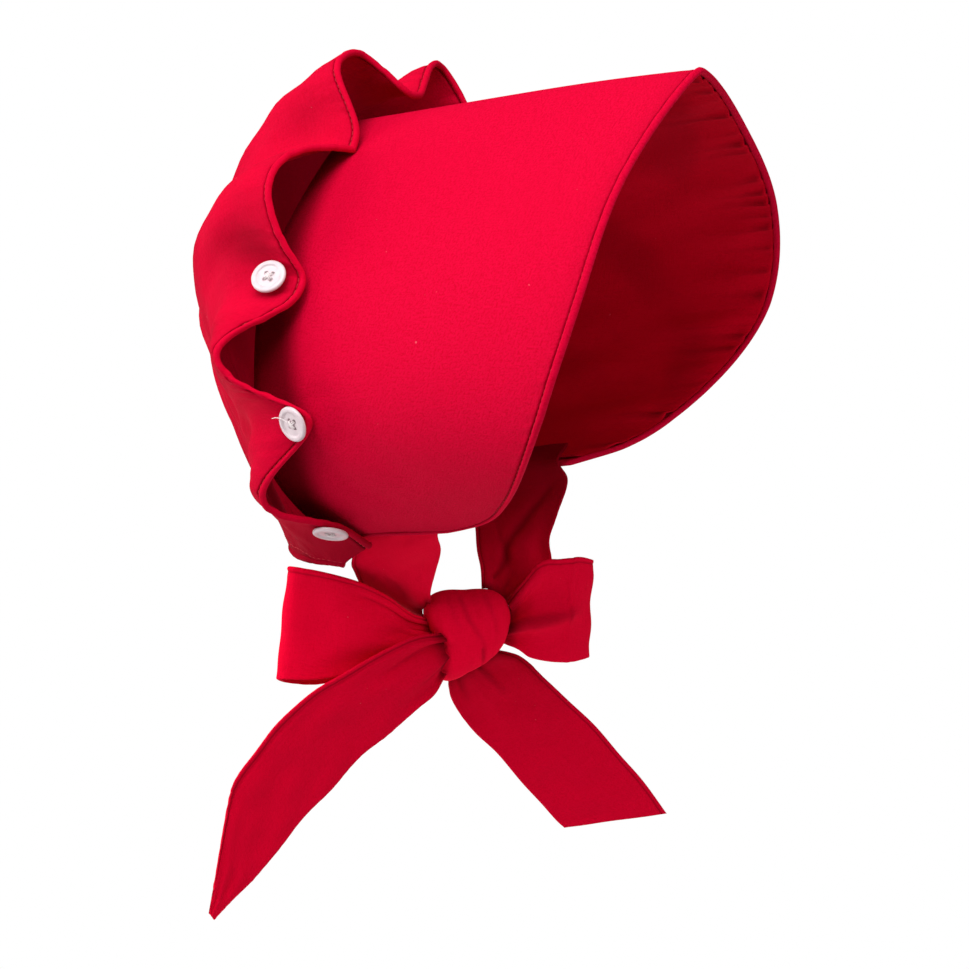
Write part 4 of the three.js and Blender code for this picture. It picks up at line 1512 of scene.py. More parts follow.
    def tucks(self, at: OnCrown) -> Array:
        """Small tucks pulled in by the thread of each button and tack, beside the hem.

        They are a cosine along the hem, fading to both sides as exp(-(distance / spread) squared).

        Args:
            at: Where the points lie.

        Returns:
            Depth at each point.
        """
        total = np.zeros(at.inset.shape)
        for tuck in TUCKS:
            across = at.u - np.interp(tuck.place, at.places, at.u[:, 0])
            fade = np.exp(-((across / self.tuck_spread) ** 2))
            fade *= np.clip((tuck.reach + 3 - at.inset) / 5, 0, 1)
            total += tuck.depth * (0.5 + 0.5 * np.cos(across * 2 * np.pi / self.tuck_pitch)) * fade
        return total * np.clip((at.inset - 4) / 2, 0, 1)

    def outside_sign(self, points: Array, normals: Array) -> float:
        """1 if the grid's normals point away from the bonnet's middle, else -1."""
        return 1.0 if float(((points - np.array(self.middle)) * normals).sum()) > 0 else -1.0


# The bow.

TIE_WIDTH = 50.0
TIE_HALF_THICKNESS = 0.7


class Reach(NamedTuple):
    """The knot's outline: its reach in knot widths at an angle from the wearer's left, rising."""

    angle: float
    reach: float


KNOT_OUTLINE = np.array(
    (
        Reach(0, 0.52),
        Reach(45, 0.69),
        Reach(90, 0.62),
        Reach(135, 0.73),
        Reach(180, 0.41),
        Reach(236, 0.63),
        Reach(270, 0.45),
        Reach(315, 0.42),
        Reach(360, 0.52),
    )
)


@dataclass
class BowPlace:
    """Where the bow hangs and the shape of its knot."""

    turn: float = 46.0
    front: float = 50.0
    height: float = -254.6
    knot_width: float = 39.0
    knot_thickness: float = 26.0
    knot_rounding: float = 0.6
    knot_gap: float = 0.35

    def point(self, local: Array) -> Array:
        """Points of the bow in the bonnet's frame: turned about the upright axis and moved.

        Args:
            local: Points as (across, toward the bow's front, up), in millimetres.

        Returns:
            The same points in the bonnet's frame.
        """
        turn = math.radians(self.turn)
        across, toward, up = local[..., 0], local[..., 1], local[..., 2]
        return np.stack(
            [
                across * math.cos(turn) - toward * math.sin(turn),
                -self.front - across * math.sin(turn) - toward * math.cos(turn),
                self.height + up,
            ],
            -1,
        )

    def reach(self, angle: Array, toward: Array) -> Array:
        """Reach of the knot from its middle: its outline times sin(lean) ** rounding.

        Args:
            angle: Angles round the knot, in degrees.
            toward: Distance toward the bow's front.

        Returns:
            Reach in millimetres.
        """
        outline = column(KNOT_OUTLINE[:, 0], KNOT_OUTLINE[:, 1], np.mod(angle, 360)) * self.knot_width
        lean = np.arccos(np.clip(np.abs(toward) / (self.knot_thickness / 2), 0, 1))
        return outline * np.sin(lean) ** self.knot_rounding

    def beside(self, local: Array) -> Array:
        """Points moved to lie just clear of the knot's side.

        Args:
            local: Points as (across, toward the bow's front, up).

        Returns:
            The moved points, with the same distance toward the front.
        """
        angle = np.arctan2(local[..., 2], local[..., 0])
        depth = np.maximum(np.abs(local[..., 1]) - TIE_HALF_THICKNESS, 0)
        reach = self.reach(np.degrees(angle), depth) + self.knot_gap
        return np.stack([reach * np.cos(angle), local[..., 1], reach * np.sin(angle)], -1)


class Section(NamedTuple):
    """A section across a ribbon, in tie widths from the knot's middle: first edge (x1 across,
    z1 up, y1 toward the front), second edge, depth of its pleats, and whether it is at the knot."""

    x1: float
    z1: float
    y1: float
    x2: float
    z2: float
    y2: float
    pleat: float
    knot: bool = False


STRAP_RIGHT = (
    Section(-1.18, 0.92, 0.08, -0.57, 1.39, 1.02, 0),
    Section(-1.14, 0.8, -0.02, -0.49, 1.19, 0.84, 0),
    Section(-0.96, 0.49, -0.26, -0.46, 0.88, 0.54, 0.01),
    Section(-0.7, 0.28, -0.3, -0.44, 0.6, 0.28, 0.01),
    Section(-0.47, 0.16, -0.18, -0.39, 0.43, 0.08, 0.01, True),
)
STRAP_LEFT = (
    Section(0.4, 1.06, -1.14, 1.23, 1.36, -0.58, 0),
    Section(0.37, 0.82, -0.96, 1.09, 1.02, -0.5, 0.01),
    Section(0.3, 0.68, -0.66, 0.99, 0.8, -0.42, 0.02),
    Section(0.25, 0.59, -0.36, 0.97, 0.47, -0.38, 0.02),
    Section(0.2, 0.5, -0.1, 0.6, 0.2, -0.22, 0.02, True),
)
LOOP_RIGHT = (
    Section(-0.52, 0.3, 0.04, -0.38, -0.28, 0.04, 0.03, True),
    Section(-0.62, 0.34, 0.09, -0.56, -0.18, 0.09, 0.03),
    Section(-0.85, 0.55, 0.14, -0.86, -0.19, 0.14, 0.02),
    Section(-1.1, 0.71, 0.16, -1.19, -0.21, 0.16, 0.01),
    Section(-1.42, 0.83, 0.14, -1.55, -0.25, 0.14, 0),
    Section(-1.72, 0.9, 0.08, -1.84, -0.24, 0.08, 0),
    Section(-1.78, 0.89, 0, -1.92, -0.26, 0, 0),
    Section(-1.69, 0.82, -0.08, -1.81, -0.33, -0.08, 0),
    Section(-1.36, 0.71, -0.14, -1.48, -0.4, -0.14, 0),
    Section(-1.02, 0.55, -0.16, -1.11, -0.36, -0.16, 0.01),
    Section(-0.78, 0.41, -0.14, -0.79, -0.3, -0.14, 0.02),
    Section(-0.58, 0.27, -0.09, -0.53, -0.25, -0.09, 0.03),
    Section(-0.47, 0.23, -0.04, -0.37, -0.28, -0.04, 0.03, True),
)
LOOP_LEFT = (
    Section(0.47, 0.39, 0.05, 0.45, -0.1, 0.05, 0.03, True),
    Section(0.57, 0.56, 0.09, 0.51, -0.15, 0.09, 0.03),
    Section(0.73, 0.76, 0.14, 0.62, -0.23, 0.14, 0.02),
    Section(0.94, 0.77, 0.14, 0.86, -0.3, 0.14, 0),
    Section(1.15, 0.76, 0.1, 1.09, -0.33, 0.1, 0),
    Section(1.3, 0.69, 0, 1.27, -0.34, 0, 0),
    Section(1.23, 0.67, -0.1, 1.19, -0.39, -0.1, 0),
    Section(1.04, 0.66, -0.14, 0.97, -0.39, -0.14, 0),
    Section(0.84, 0.64, -0.14, 0.73, -0.33, -0.14, 0.02),
    Section(0.63, 0.5, -0.09, 0.56, -0.21, -0.09, 0.03),
    Section(0.49, 0.35, -0.05, 0.45, -0.12, -0.05, 0.03, True),
)
TAIL_RIGHT = (
    Section(-0.43, 0.17, 0.2, -0.32, -0.36, 0.2, 0.02, True),
    Section(-0.61, 0.16, 0.3, -0.39, -0.47, 0.26, 0.02),
    Section(-0.98, 0.04, 0.34, -0.56, -0.59, 0.28, 0.01),
    Section(-1.32, -0.12, 0.36, -0.88, -0.85, 0.26, 0),
    Section(-1.65, -0.29, 0.36, -1.16, -1.06, 0.24, 0),
    Section(-1.99, -0.57, 0.34, -1.46, -1.39, 0.22, 0),
    Section(-2.22, -0.86, 0.32, -1.74, -1.65, 0.22, 0),
    Section(-2.42, -1.13, 0.3, -2.02, -1.99, 0.22, 0),
    Section(-2.49, -1.35, 0.28, -2.25, -2.24, 0.22, 0),
    Section(-2.61, -2, 0.26, -2.47, -2.43, 0.23, 0),
    Section(-2.7, -2.54, 0.24, -2.66, -2.61, 0.24, 0),
)
TAIL_LEFT = (
    Section(0.33, -0.22, -0.12, -0.2, -0.52, -0.12, 0.02, True),
    Section(0.62, -0.33, -0.21, -0.1, -0.71, -0.18, 0.02),
    Section(0.89, -0.6, -0.22, 0.11, -1.05, -0.18, 0.01),
    Section(1.15, -0.87, -0.2, 0.37, -1.33, -0.16, 0),
    Section(1.41, -1.14, -0.16, 0.62, -1.66, -0.14, 0),
    Section(1.66, -1.46, -0.12, 0.82, -1.9, -0.12, 0),
    Section(1.91, -1.77, -0.08, 0.98, -2.1, -0.1, 0),
    Section(2.15, -2.13, -0.04, 1.06, -2.18, -0.08, 0),
)
SEAM_ROLL = (
    RollRow(0, 0.15, 0.15),
    RollRow(0.12, 0.5, 0.5),
    RollRow(0.4, 0.85, 0.8),
    RollRow(0.9, 1.05, 0.9),
    RollRow(1.5, 0.95, 0.85),
    RollRow(2.1, 0.5, 0.6),
    RollRow(2.8, 0.6, 0.65),
    RollRow(4, 0.7, 0.7),
)
FOLDED_EDGE = (
    RollRow(0, 0.15, 0.15),
    RollRow(0.12, 0.45, 0.45),
    RollRow(0.4, 0.68, 0.68),
    RollRow(0.9, 0.8, 0.8),
    RollRow(1.8, 0.75, 0.75),
    RollRow(4, 0.7, 0.7),
)
EDGE_PLACES = (0, 0.1, 0.25, 0.5, 0.9, 1.4, 1.9, 2.4, 3.0, 4.0)


@dataclass
class Ribbon:
    """A length of tie: a sewn and turned double band, folded where the knot gathers it.

    `covered` is how much painted shadow lies on its start, under what covers it, over
    `covered_reach`, and a further even painted shade darkens the whole.
    """

    name: str
    node: str
    sections: Sequence[Section]
    place: BowPlace
    flat: tuple[float, float]
    held: Hold
    rests_on: tuple[str, ...]
    sewn: Array | None = None
    creases: tuple[Crease, ...] = ()
    closed_ends: tuple[bool, bool] = (False, False)
    seed: int = 50
    pleat_gain: float = 1.5
    covered: float = 0.0
    covered_reach: float = 30.0
    # Painted shade laid evenly over the whole ribbon.
    painted_even_shade: float = 0.0
    seam_inset: float = 2.3
    across_pitch: float = 1.3
    along_pitch: float = 1.2

    def coarse(self, shares: Array) -> Array:
        """Sections of the table, each at all the shares across it.

        A section runs straight between its two edges. Its pleats go toward the front by
        sin(4 pi share) + 0.4 sin(6 pi share + 1) sin(pi share). A section at the knot is moved to
        lie beside it.

        Args:
            shares: Shares of the way across the ribbon.

        Returns:
            Points, sections by shares by 3.
        """
        table = np.array([row[:7] for row in self.sections], float)
        first = table[:, [0, 2, 1]] * TIE_WIDTH
        second = table[:, [3, 5, 4]] * TIE_WIDTH
        s = shares[None, :, None]
        local = first[:, None] * (1 - s) + second[:, None] * s
        fold = np.sin(4 * np.pi * shares) + 0.4 * np.sin(6 * np.pi * shares + 1) * np.sin(np.pi * shares)
        local[..., 1] += table[:, 6:7] * TIE_WIDTH * self.pleat_gain * fold
        seated = self.place.beside(local)
        knot = np.array([row.knot for row in self.sections])[:, None, None]
        points = self.place.point(np.where(knot, seated, local))
        if self.sewn is not None:
            ends = self.sewn[:, 0][:, None] * (1 - s) + self.sewn[:, 1][:, None] * s
            points = np.concatenate([ends, points])
        return points

    def build(self, finishes: Finishes) -> bpy.types.Object:
        """The ribbon's cloth: a smooth surface through its sections, with its creases pressed in.

        Args:
            finishes: The materials.

        Returns:
            The ribbon as one piece.
        """
        points, x, y = self.grid()
        edge = np.minimum(y, TIE_WIDTH - y)
        relief = Uneven(0.35, 16, 40, self.seed).at(x, y) * np.clip(edge / 8, 0.2, 1)
        relief += Uneven(0.1, 4, 8, self.seed + 1).at(x, y * 0.2) * np.exp(-edge / 4)
        dips = creased(x, y, self.creases)
        points = points + surface_normals(points) * (relief - dips)[..., None]
        front, back = self.faces(x, y)
        shade = self.shade(x, y, dips)
        surface = closed_sheet(points, surface_normals(points), front, back, (shade, shade))
        ribbon = make_piece(self.name, surface, finishes.tie)
        LOG.info("%s: %.0f mm long", self.name, x[-1, 0])
        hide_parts(self.node)
        return ribbon

    def grid(self) -> tuple[Array, Array, Array]:
        """Smooth grid through the sections, finer at its edges.

        Returns:
            Points, and at each the distance run along the ribbon and across it.
        """
        shares = graded(TIE_WIDTH, self.across_pitch, EDGE_PLACES, EDGE_PLACES) / TIE_WIDTH
        coarse = self.coarse(shares)
        keys = distance_run(coarse[:, len(shares) // 2])
        along = graded(keys[-1], self.along_pitch, EDGE_PLACES, EDGE_PLACES)
        points = along_table(keys, coarse.reshape(len(keys), -1), along)
        x, y = np.meshgrid(along, shares * TIE_WIDTH, indexing="ij")
        return points.reshape(len(along), len(shares), 3), x, y

    def faces(self, x: Array, y: Array) -> tuple[Array, Array]:
        """Heights of both faces: a sewn seam along one edge, a fold along the other, and a thin
        rounded end where the end is closed.

        Args:
            x: Distance run along the ribbon.
            y: Distance run across it.

        Returns:
            Height of the front face and depth of the back face.
        """
        seam, folded = roll_faces(SEAM_ROLL, y), roll_faces(FOLDED_EDGE, TIE_WIDTH - y)
        front = np.where(y < TIE_WIDTH / 2, seam[0], folded[0])
        back = np.where(y < TIE_WIDTH / 2, seam[1], folded[1])
        for closed, gap in zip(self.closed_ends, (x, x[-1, 0] - x)):
            if closed:
                end = roll_faces(FOLDED_EDGE, gap)
                front, back = np.minimum(front, end[0] + 0.1), np.minimum(back, end[1] + 0.1)
        return front, back

    def shade(self, x: Array, y: Array, dips: Array) -> Array:
        """Painted shade at each point.

        The creases, the seam line, the start under what covers it and the ends in the knot get
        painted shade, each fading out from its middle, and the whole gets an even painted shade.

        Args:
            x: Distance run along the ribbon.
            y: Distance run across it.
            dips: Depth of the creases.

        Returns:
            Painted shade at each point.
        """
        seam_line = np.exp(-(((y - self.seam_inset) / 0.45) ** 2))
        total = 0.4 * ramp(dips, 0.2, 2.4) + 0.45 * seam_line
        total += self.covered * ramp(-x, -self.covered_reach, 0) + self.painted_even_shade
        for section, gap in ((self.sections[0], x), (self.sections[-1], x[-1, 0] - x)):
            total += 0.55 * section.knot * np.exp(-((gap / 4.5) ** 2))
        return total


@dataclass
class Knot:
    """The knot: ties wrapped round each other, seen as one bound bundle with slanting creases."""

    place: BowPlace
    rings: int = 90
    columns: int = 180
    unevenness: Uneven = Uneven(0.3, 5, 12, 71)
    creases: tuple[Crease, ...] = (
        Crease(((-5, 22), (-2, 13), (2.3, 6), (5.6, -0.4), (6.5, -16)), 1.1, 2.3),
        Crease(((-11, 22), (-8, 12), (-2, 1), (0, -20)), 0.8, 2.6),
        Crease(((5, -3), (6.5, -16)), 0.9, 1.2),
        Crease(((8, 22), (12, 10), (12, -6)), 0.8, 2.4),
        Crease(((-17, 12), (-14, -8), (-12, -26)), 0.6, 2.0),
        Crease(((-16, 6), (-6, 4), (2, -6)), -0.8, 5.0),
    )

    def build(self, finishes: Finishes) -> bpy.types.Object:
        """The knot's cloth: rings round the toward axis, from its front pole to its back pole.

        A ring at a lean from the front pole stands cos(lean) times half the thickness forward and
        has the knot's reach there. Creases are pressed in along the toward axis.

        Args:
            finishes: The materials.

        Returns:
            The knot as one piece.
        """
        columns = self.columns
        leans = np.linspace(0, np.pi, self.rings + 1)[1:-1]
        lean, angle = np.meshgrid(leans, np.arange(columns) / columns * 360, indexing="ij")
        half = self.place.knot_thickness / 2
        reach = self.place.reach(angle, np.cos(lean) * half)
        across = reach * np.cos(np.radians(angle))
        up = reach * np.sin(np.radians(angle))
        dips = creased(across, up, self.creases)
        # Painted shade in the creases on the knot's front.
        shade = 0.45 * ramp(dips, 0.2, 2.0) * ramp(np.cos(lean), -0.2, 0.2)
        shade = np.concatenate([shade.ravel(), [0, 0]])
        depth = dips + self.unevenness.at(across, up * 0.5)
        toward = np.cos(lean) * half - np.cos(lean) * np.sin(lean) ** 0.5 * depth
        rings = self.place.point(np.stack([across, toward, up], -1))
        centre = float(creased(np.array([0.0]), np.array([0.0]), self.creases)[0])
        poles = self.place.point(np.array([[0, half - centre * 0.2, 0], [0, -half, 0]], float))
        points = np.concatenate([rings.reshape(-1, 3), poles])
        flat = np.stack([across + toward * 0.3, up], -1).reshape(-1, 2)
        cut = np.concatenate([flat, np.zeros((2, 2))])
        surface = Surface(points, ring_faces(len(leans), columns), cut, shade).outward()
        knot = make_piece("bow_knot_cloth", surface, finishes.tie)
        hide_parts("bow_knot")
        return knot


@dataclass
class Bow:
    """The ties and the bow: straps, knot, loops and tails."""

    brim: Brim
    place: BowPlace = field(default_factory=BowPlace)
    strap_inset: float = 4.35
    strap_back: float = 24.0
    strap_sewn_width: float = 46.0
    overlap_angle: float = 7.0

    def sewn(self, side: int) -> Array:
        """Both edges of a strap where it is sewn inside the end of the brim.

        Args:
            side: -1 for the wearer's right, 1 for the left.

        Returns:
            Two sections by two edges by 3.
        """
        angles = np.array([self.brim.half_sweep - self.overlap_angle, self.brim.half_sweep]) * side
        depths = np.array([self.strap_back, self.strap_back + self.strap_sewn_width])
        angle, depth = np.meshgrid(angles, depths, indexing="ij")
        return self.brim.point(angle, depth) - self.brim.normal(angle, depth) * self.strap_inset

    def ribbons(self) -> list[Ribbon]:
        """The six lengths of tie.

        Returns:
            Two straps, two loops and two tails.
        """
        common = {"place": self.place}
        # Each ribbon's covered and even values set its painted shade.
        return [
            Ribbon(
                "tie_strap_right_cloth", "tie_strap_right", STRAP_RIGHT, flat=(0.05, 0.075), held=Hold.HUNG,
                rests_on=("brim_lining_cloth",), sewn=self.sewn(-1), seed=50, **common,
                covered=0.35, covered_reach=25.0, painted_even_shade=0.16, pleat_gain=0.4,
                creases=(Crease(((76, 22), (60, 18), (46, 12)), 1.0, 3.5),),
            ),
            Ribbon(
                "tie_strap_left_cloth", "tie_strap_left", STRAP_LEFT, flat=(0.05, 0.09), held=Hold.HUNG,
                rests_on=("brim_lining_cloth",), sewn=self.sewn(1), seed=53, **common,
                covered=0.6, covered_reach=70.0, painted_even_shade=0.28, pleat_gain=0.8,
                creases=(
                    Crease(((75, 12), (50, 24), (20, 46)), 1.8, 3.6),
                    Crease(((80, 26), (30, 10)), 1.0, 3.0),
                ),
            ),
            Ribbon(
                "bow_loop_right_cloth", "bow_loop_right", LOOP_RIGHT, flat=(0.05, 0.145), held=Hold.FOLDED,
                rests_on=("bow_knot_cloth",), seed=56, **common,
                creases=(
                    Crease(((0, 9), (20, 9), (52, 7)), 1.9, 2.3),
                    Crease(((4, 20), (26, 20), (56, 24)), -2.0, 7.0),
                    Crease(((0, 31), (20, 38), (44, 50)), 1.5, 3.4),
                    Crease(((0, 15), (16, 17)), 1.1, 2.0),
                ),
            ),
            Ribbon(
                "bow_loop_left_cloth", "bow_loop_left", LOOP_LEFT, flat=(0.05, 0.095), held=Hold.FOLDED,
                rests_on=("bow_knot_cloth",), seed=59, painted_even_shade=0.1, **common,
                creases=(
                    Crease(((0, 31), (14, 31), (40, 24)), 2.4, 3.4),
                    Crease(((4, 20), (36, 14)), -1.6, 6.0),
                    Crease(((0, 15), (16, 10)), 1.2, 1.8),
                    Crease(((12, 40), (34, 36)), -1.0, 4.0),
                    Crease(((31, -20), (33, 90)), 0.7, 1.0),
                ),
            ),
            Ribbon(
                "bow_tail_right_cloth", "bow_tail_right", TAIL_RIGHT, flat=(0.05, 0.165), held=Hold.HUNG,
                rests_on=("bow_knot_cloth",), seed=62, closed_ends=(False, True), painted_even_shade=0.26, **common,
                creases=(
                    Crease(((0, 13), (16, 14), (38, 18)), 1.3, 3.0),
                    Crease(((0, 34), (24, 37)), 1.2, 3.2),
                    Crease(((0, 3.8), (230, 3.8)), 0.7, 0.6),
                    Crease(((10, 24), (60, 26)), -1.2, 7.0),
                ),
            ),
            Ribbon(
                "bow_tail_left_cloth", "bow_tail_left", TAIL_LEFT, flat=(0.05, 0.13), held=Hold.HUNG,
                rests_on=("bow_knot_cloth",), seed=65, closed_ends=(False, True), painted_even_shade=0.26, **common,
                covered=0.3, covered_reach=22.0,
                creases=(
                    Crease(((0, 22), (14, 24), (34, 22)), 1.5, 3.4),
                    Crease(((0, 38), (26, 42)), 1.2, 3.2),
                ),
            ),
        ]

    def build(self, finishes: Finishes) -> list[bpy.types.Object]:
        """Every ribbon and the knot."""
        lengths = [ribbon.build(finishes) for ribbon in self.ribbons()]
        return lengths + [Knot(self.place).build(finishes)]


# The buttons.


@dataclass
class Button:
    """A four-hole button sewn to the crown, where its CAD node sits."""

    node: str
    diameter: float = 17.0
    thickness: float = 2.2
    hole: float = 1.9
    hole_circle: float = 4.6
    dish_share: float = 0.62
    floor_over_underside: float = 0.15
    hole_edge: float = 0.12
    thread_radius: float = 0.26
    thread_spacing: float = 0.56
    shank_radius: float = 1.1
    loose_radius: float = 0.2
    loose_length: float = 9.5
    columns: int = 144
    dish_rings: int = 44
    loose_end: bool = False

    def seat(self) -> tuple[Array, Array]:
        """Middle of the node's underside and its axes (side, side, facing), as rows.

        The facing axis is the direction in which the node's points spread least, turned away
        from the bonnet's middle line.

        Returns:
            The middle of the underside and the three axes.
        """
        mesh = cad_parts[self.node].data
        flat = np.zeros(len(mesh.vertices) * 3, np.float32)
        mesh.vertices.foreach_get("co", flat)
        points = flat.reshape(-1, 3).astype(float) / MM
        middle = (points.min(0) + points.max(0)) / 2
        axes = np.linalg.svd(points - points.mean(0), full_matrices=False)[2]
        facing = axes[2]
        if facing @ (middle - np.array([0, middle[1], ARCH_AXIS])) < 0:
            facing = -facing
        heights = (points - middle) @ facing
        side = unit(np.cross([0.0, 0.0, 1.0], facing))
        return middle + facing * heights.min(), np.stack([side, np.cross(facing, side), facing])

    def outline(self) -> tuple[Array, int]:
        """Half section of the disc, from the middle of the underside to the middle of the dish.

        The rim is half a circle. The dish lies at dish_share of the thickness and rises by
        0.15 * (distance / radius) squared.

        Returns:
            Rows of distance and height, and how many of the last ones lie in the dish.
        """
        radius, thick = self.diameter / 2, self.thickness
        dish = thick * self.dish_share
        half = thick / 2
        rim = radius - half
        rows = [(0.05, 0.0), (radius * 0.5, 0.0), (rim, 0.0)]
        turns = np.linspace(-np.pi / 2, np.pi / 2, 9)[1:]
        rows += [(rim + half * math.cos(a), half + half * math.sin(a)) for a in turns]
        rows += [(radius - 1.9, thick), (radius - 2.3, thick - 0.1)]
        rows += [(radius - 2.7, dish + 0.2), (radius - 3.1, dish)]
        inner = np.linspace(radius - 3.3, 0.06, self.dish_rings)
        rows += [(float(r), dish + 0.15 * (r / radius) ** 2) for r in inner]
        return np.array(rows), len(inner)

    def surface(self) -> Surface:
        """Rings of the outline, turned about the middle, with four holes sunk into the dish.

        A hole drops almost to the underside within its radius, over a narrow edge.

        Returns:
            The disc, with its underside's middle at zero and facing up.
        """
        ring, in_dish = self.outline()
        turn = np.arange(self.columns) / self.columns * 2 * np.pi
        x = ring[:, :1] * np.cos(turn)
        y = ring[:, :1] * np.sin(turn)
        z = np.repeat(ring[:, 1:], len(turn), axis=1)
        inside = np.arange(len(ring))[:, None] >= len(ring) - in_dish
        sink = self.thickness * self.dish_share - self.floor_over_underside
        reach = self.hole_circle / 2
        for k in range(4):
            at = (k + 0.5) * np.pi / 2
            gap = np.hypot(x - reach * math.cos(at), y - reach * math.sin(at))
            drop = np.clip((self.hole / 2 + self.hole_edge - gap) / (2 * self.hole_edge), 0, 1)
            z = np.where(inside, z - sink * drop, z)
        poles = [[0, 0, 0], [0, 0, ring[-1, 1]]]
        points = np.concatenate([np.stack([x, y, z], -1).reshape(-1, 3), poles])
        return Surface(points, ring_faces(len(ring), len(turn)), points[:, :2].copy()).outward()

    def threads(self) -> Surface:
        """Threads over the dish from hole to hole, the shank under it, and a loose end.

        A thread is raised over the dish by 0.35 + 0.5 * (1 - s^2) and dips into its holes by
        1.4 * s^8, with s from -1 to 1 along it. The second pair lies over the first.

        Returns:
            All threads as one surface.
        """
        reach = self.hole_circle / 2 * math.sqrt(0.5)
        dish = self.thickness * self.dish_share
        runs = []
        for k, (sx, sy) in enumerate(((1, 1), (1, -1))):
            for shift in (-self.thread_spacing / 2, self.thread_spacing / 2):
                s = np.linspace(-1, 1, 15)
                arch = dish + 0.35 + 0.5 * (1 - s**2) - 1.4 * np.abs(s) ** 8 + 0.12 * k
                x = s * reach * sx + shift * -sy
                runs.append(np.stack([x, s * reach * sy + shift * sx, arch], -1))
        surfaces = [swept_tube(run, np.full(len(run), self.thread_radius)) for run in runs]
        down = np.linspace(0.2, -1.5, 6)
        shank = np.stack([0 * down, 0 * down, down], -1)
        surfaces.append(swept_tube(shank, np.full(len(shank), self.shank_radius)))
        if self.loose_end:
            s = np.linspace(0, 1, 14)
            out = -1.5 - self.loose_length * s
            end = np.stack([out, 0.8 + 1.6 * np.sin(s * 2.6), dish + 0.9 + 1.2 * s], -1)
            surfaces.append(swept_tube(end, np.full(len(end), self.loose_radius)))
        return joined(surfaces)

    def build(self, finishes: Finishes) -> list[bpy.types.Object]:
        """Button and its thread, set at the node's own place.

        Args:
            finishes: The materials.

        Returns:
            The disc and the thread.
        """
        middle, axes = self.seat()
        disc, threads = self.surface(), self.threads()
        for surface in (disc, threads):
            surface.points = surface.points @ axes + middle
            surface.outward()
        button = make_piece(f"{self.node}_disc", disc, finishes.button)
        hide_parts(self.node)
        sewn = make_piece(f"{self.node}_thread", threads, finishes.white_thread)
        return [button, sewn]


BUTTONS = (
    Button("button_upper_right"),
    Button("button_middle_right", loose_end=True),
    Button("button_lower_right"),
    Button("button_upper_left"),
    Button("button_middle_left"),
    Button("button_lower_left"),
)


# The studio.


@dataclass(frozen=True)
class Lamp:
    """A soft square light, placed from the bonnet's middle in metres along the camera's own
    directions (right, up, toward the camera)."""

    name: str
    right: float
    up: float
    toward: float
    size: float
    power: float
    colour: Colour = (1.0, 1.0, 1.0)


LAMPS = (
    Lamp("key", -0.9, 1.2, 1.3, 1.2, 24.0),
    Lamp("top", 0.0, 1.7, 1.0, 1.4, 28.0),
    Lamp("fill", 1.4, 0.5, 1.3, 1.4, 12.0),
    Lamp("side", -1.9, 0.4, 0.2, 1.5, 23.0),
)


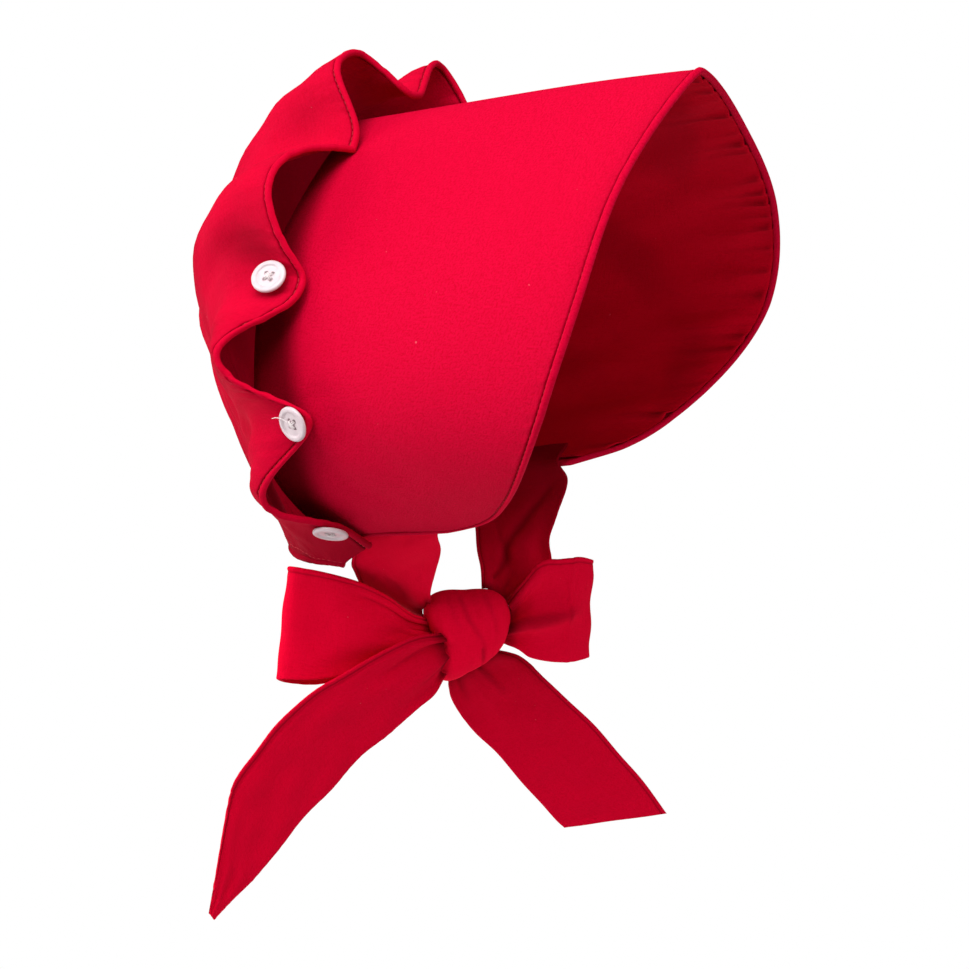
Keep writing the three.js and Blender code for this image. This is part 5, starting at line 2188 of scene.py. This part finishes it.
@dataclass
class Studio:
    """Camera at the photograph's angle, soft lamps and a plain pale floor."""

    camera_at: tuple[float, float, float] = (-1.361, -0.7776, 0.2668)
    target: tuple[float, float, float] = (0.0, -0.0602, -0.1746)
    lens: float = 121.9
    sensor: float = 36.0
    floor_height: float = -0.75
    floor_half: float = 9.0
    ambient: float = 0.06
    lamps: tuple[Lamp, ...] = LAMPS

    def build(self) -> None:
        """Place the camera, the lamps, the floor and the surrounding light."""
        scene = bpy.context.scene
        scene.view_settings.view_transform = "Standard"
        scene.view_settings.look = "None"
        data = bpy.data.cameras.new("camera")
        data.lens, data.sensor_width = self.lens, self.sensor
        camera = bpy.data.objects.new("camera", data)
        camera.location = self.camera_at
        camera.rotation_mode = "QUATERNION"
        away = Vector(self.target) - Vector(self.camera_at)
        camera.rotation_quaternion = away.to_track_quat("-Z", "Y")
        scene.collection.objects.link(camera)
        scene.camera = camera
        toward = -away.normalized()
        right = Vector((0, 0, 1)).cross(toward).normalized()
        for lamp in self.lamps:
            self.place_lamp(lamp, right, toward)
        self.build_floor()
        self.build_world()

    def place_lamp(self, lamp: Lamp, right: Vector, toward: Vector) -> None:
        """One square light, turned to the bonnet.

        Args:
            lamp: The light's place, size and power.
            right: Direction to the right in the picture.
            toward: Direction from the bonnet to the camera.
        """
        data = bpy.data.lights.new(lamp.name, "AREA")
        data.shape, data.size, data.energy, data.color = "SQUARE", lamp.size, lamp.power, lamp.colour
        light = bpy.data.objects.new(lamp.name, data)
        level = toward.cross(right).normalized()
        offset = right * lamp.right + level * lamp.up + toward * lamp.toward
        light.location = Vector(self.target) + offset
        light.rotation_mode = "QUATERNION"
        light.rotation_quaternion = (-offset).to_track_quat("-Z", "Y")
        bpy.context.scene.collection.objects.link(light)

    def build_floor(self) -> None:
        """Broad pale floor, seen by the camera as evenly lit."""
        half = self.floor_half
        mesh = bpy.data.meshes.new("floor")
        corners = [(-half, -half), (half, -half), (half, half), (-half, half)]
        mesh.from_pydata([(x, y, self.floor_height) for x, y in corners], [], [(0, 1, 2, 3)])
        floor = bpy.data.objects.new("floor", mesh)
        bpy.context.scene.collection.objects.link(floor)
        material = bpy.data.materials.new("pale floor")
        material.use_nodes = True
        sketch = Sketch(material.node_tree)
        seen = sketch.node("ShaderNodeLightPath").outputs["Is Camera Ray"]
        paint = sketch.node("ShaderNodeBsdfDiffuse", {"Color": (0.8, 0.8, 0.8, 1)}).outputs[0]
        glow = sketch.node("ShaderNodeEmission", {"Color": (1, 1, 1, 1), "Strength": 1.0}).outputs[0]
        mixed = sketch.node("ShaderNodeMixShader", {0: seen, 1: paint, 2: glow}).outputs[0]
        out = material.node_tree.nodes["Material Output"]
        sketch.tree.links.new(mixed, out.inputs["Surface"])
        mesh.materials.append(material)

    def build_world(self) -> None:
        """Even white surround: full white to the camera, softer as light."""
        world = bpy.data.worlds.new("surround")
        bpy.context.scene.world = world
        world.use_nodes = True
        sketch = Sketch(world.node_tree)
        seen = sketch.node("ShaderNodeLightPath").outputs["Is Camera Ray"]
        strength = sketch.math("ADD", self.ambient, sketch.math("MULTIPLY", seen, 1.0 - self.ambient))
        surround = world.node_tree.nodes["Background"]
        surround.inputs["Color"].default_value = (1, 1, 1, 1)
        sketch.tree.links.new(strength, surround.inputs["Strength"])


def main() -> None:
    """Build the bonnet, piece by piece, and the studio round it."""
    logging.basicConfig(level=logging.INFO, format="%(name)s: %(message)s")
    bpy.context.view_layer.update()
    finishes = Finishes.build()
    brim = Brim()
    pieces = brim.build(finishes)
    pieces += Crown(brim).build(finishes)
    pieces += Bow(brim).build(finishes)
    for button in BUTTONS:
        pieces += button.build(finishes)
    LOG.info("%d pieces", len(pieces))
    Studio().build()


if __name__ == "__main__":
    main()
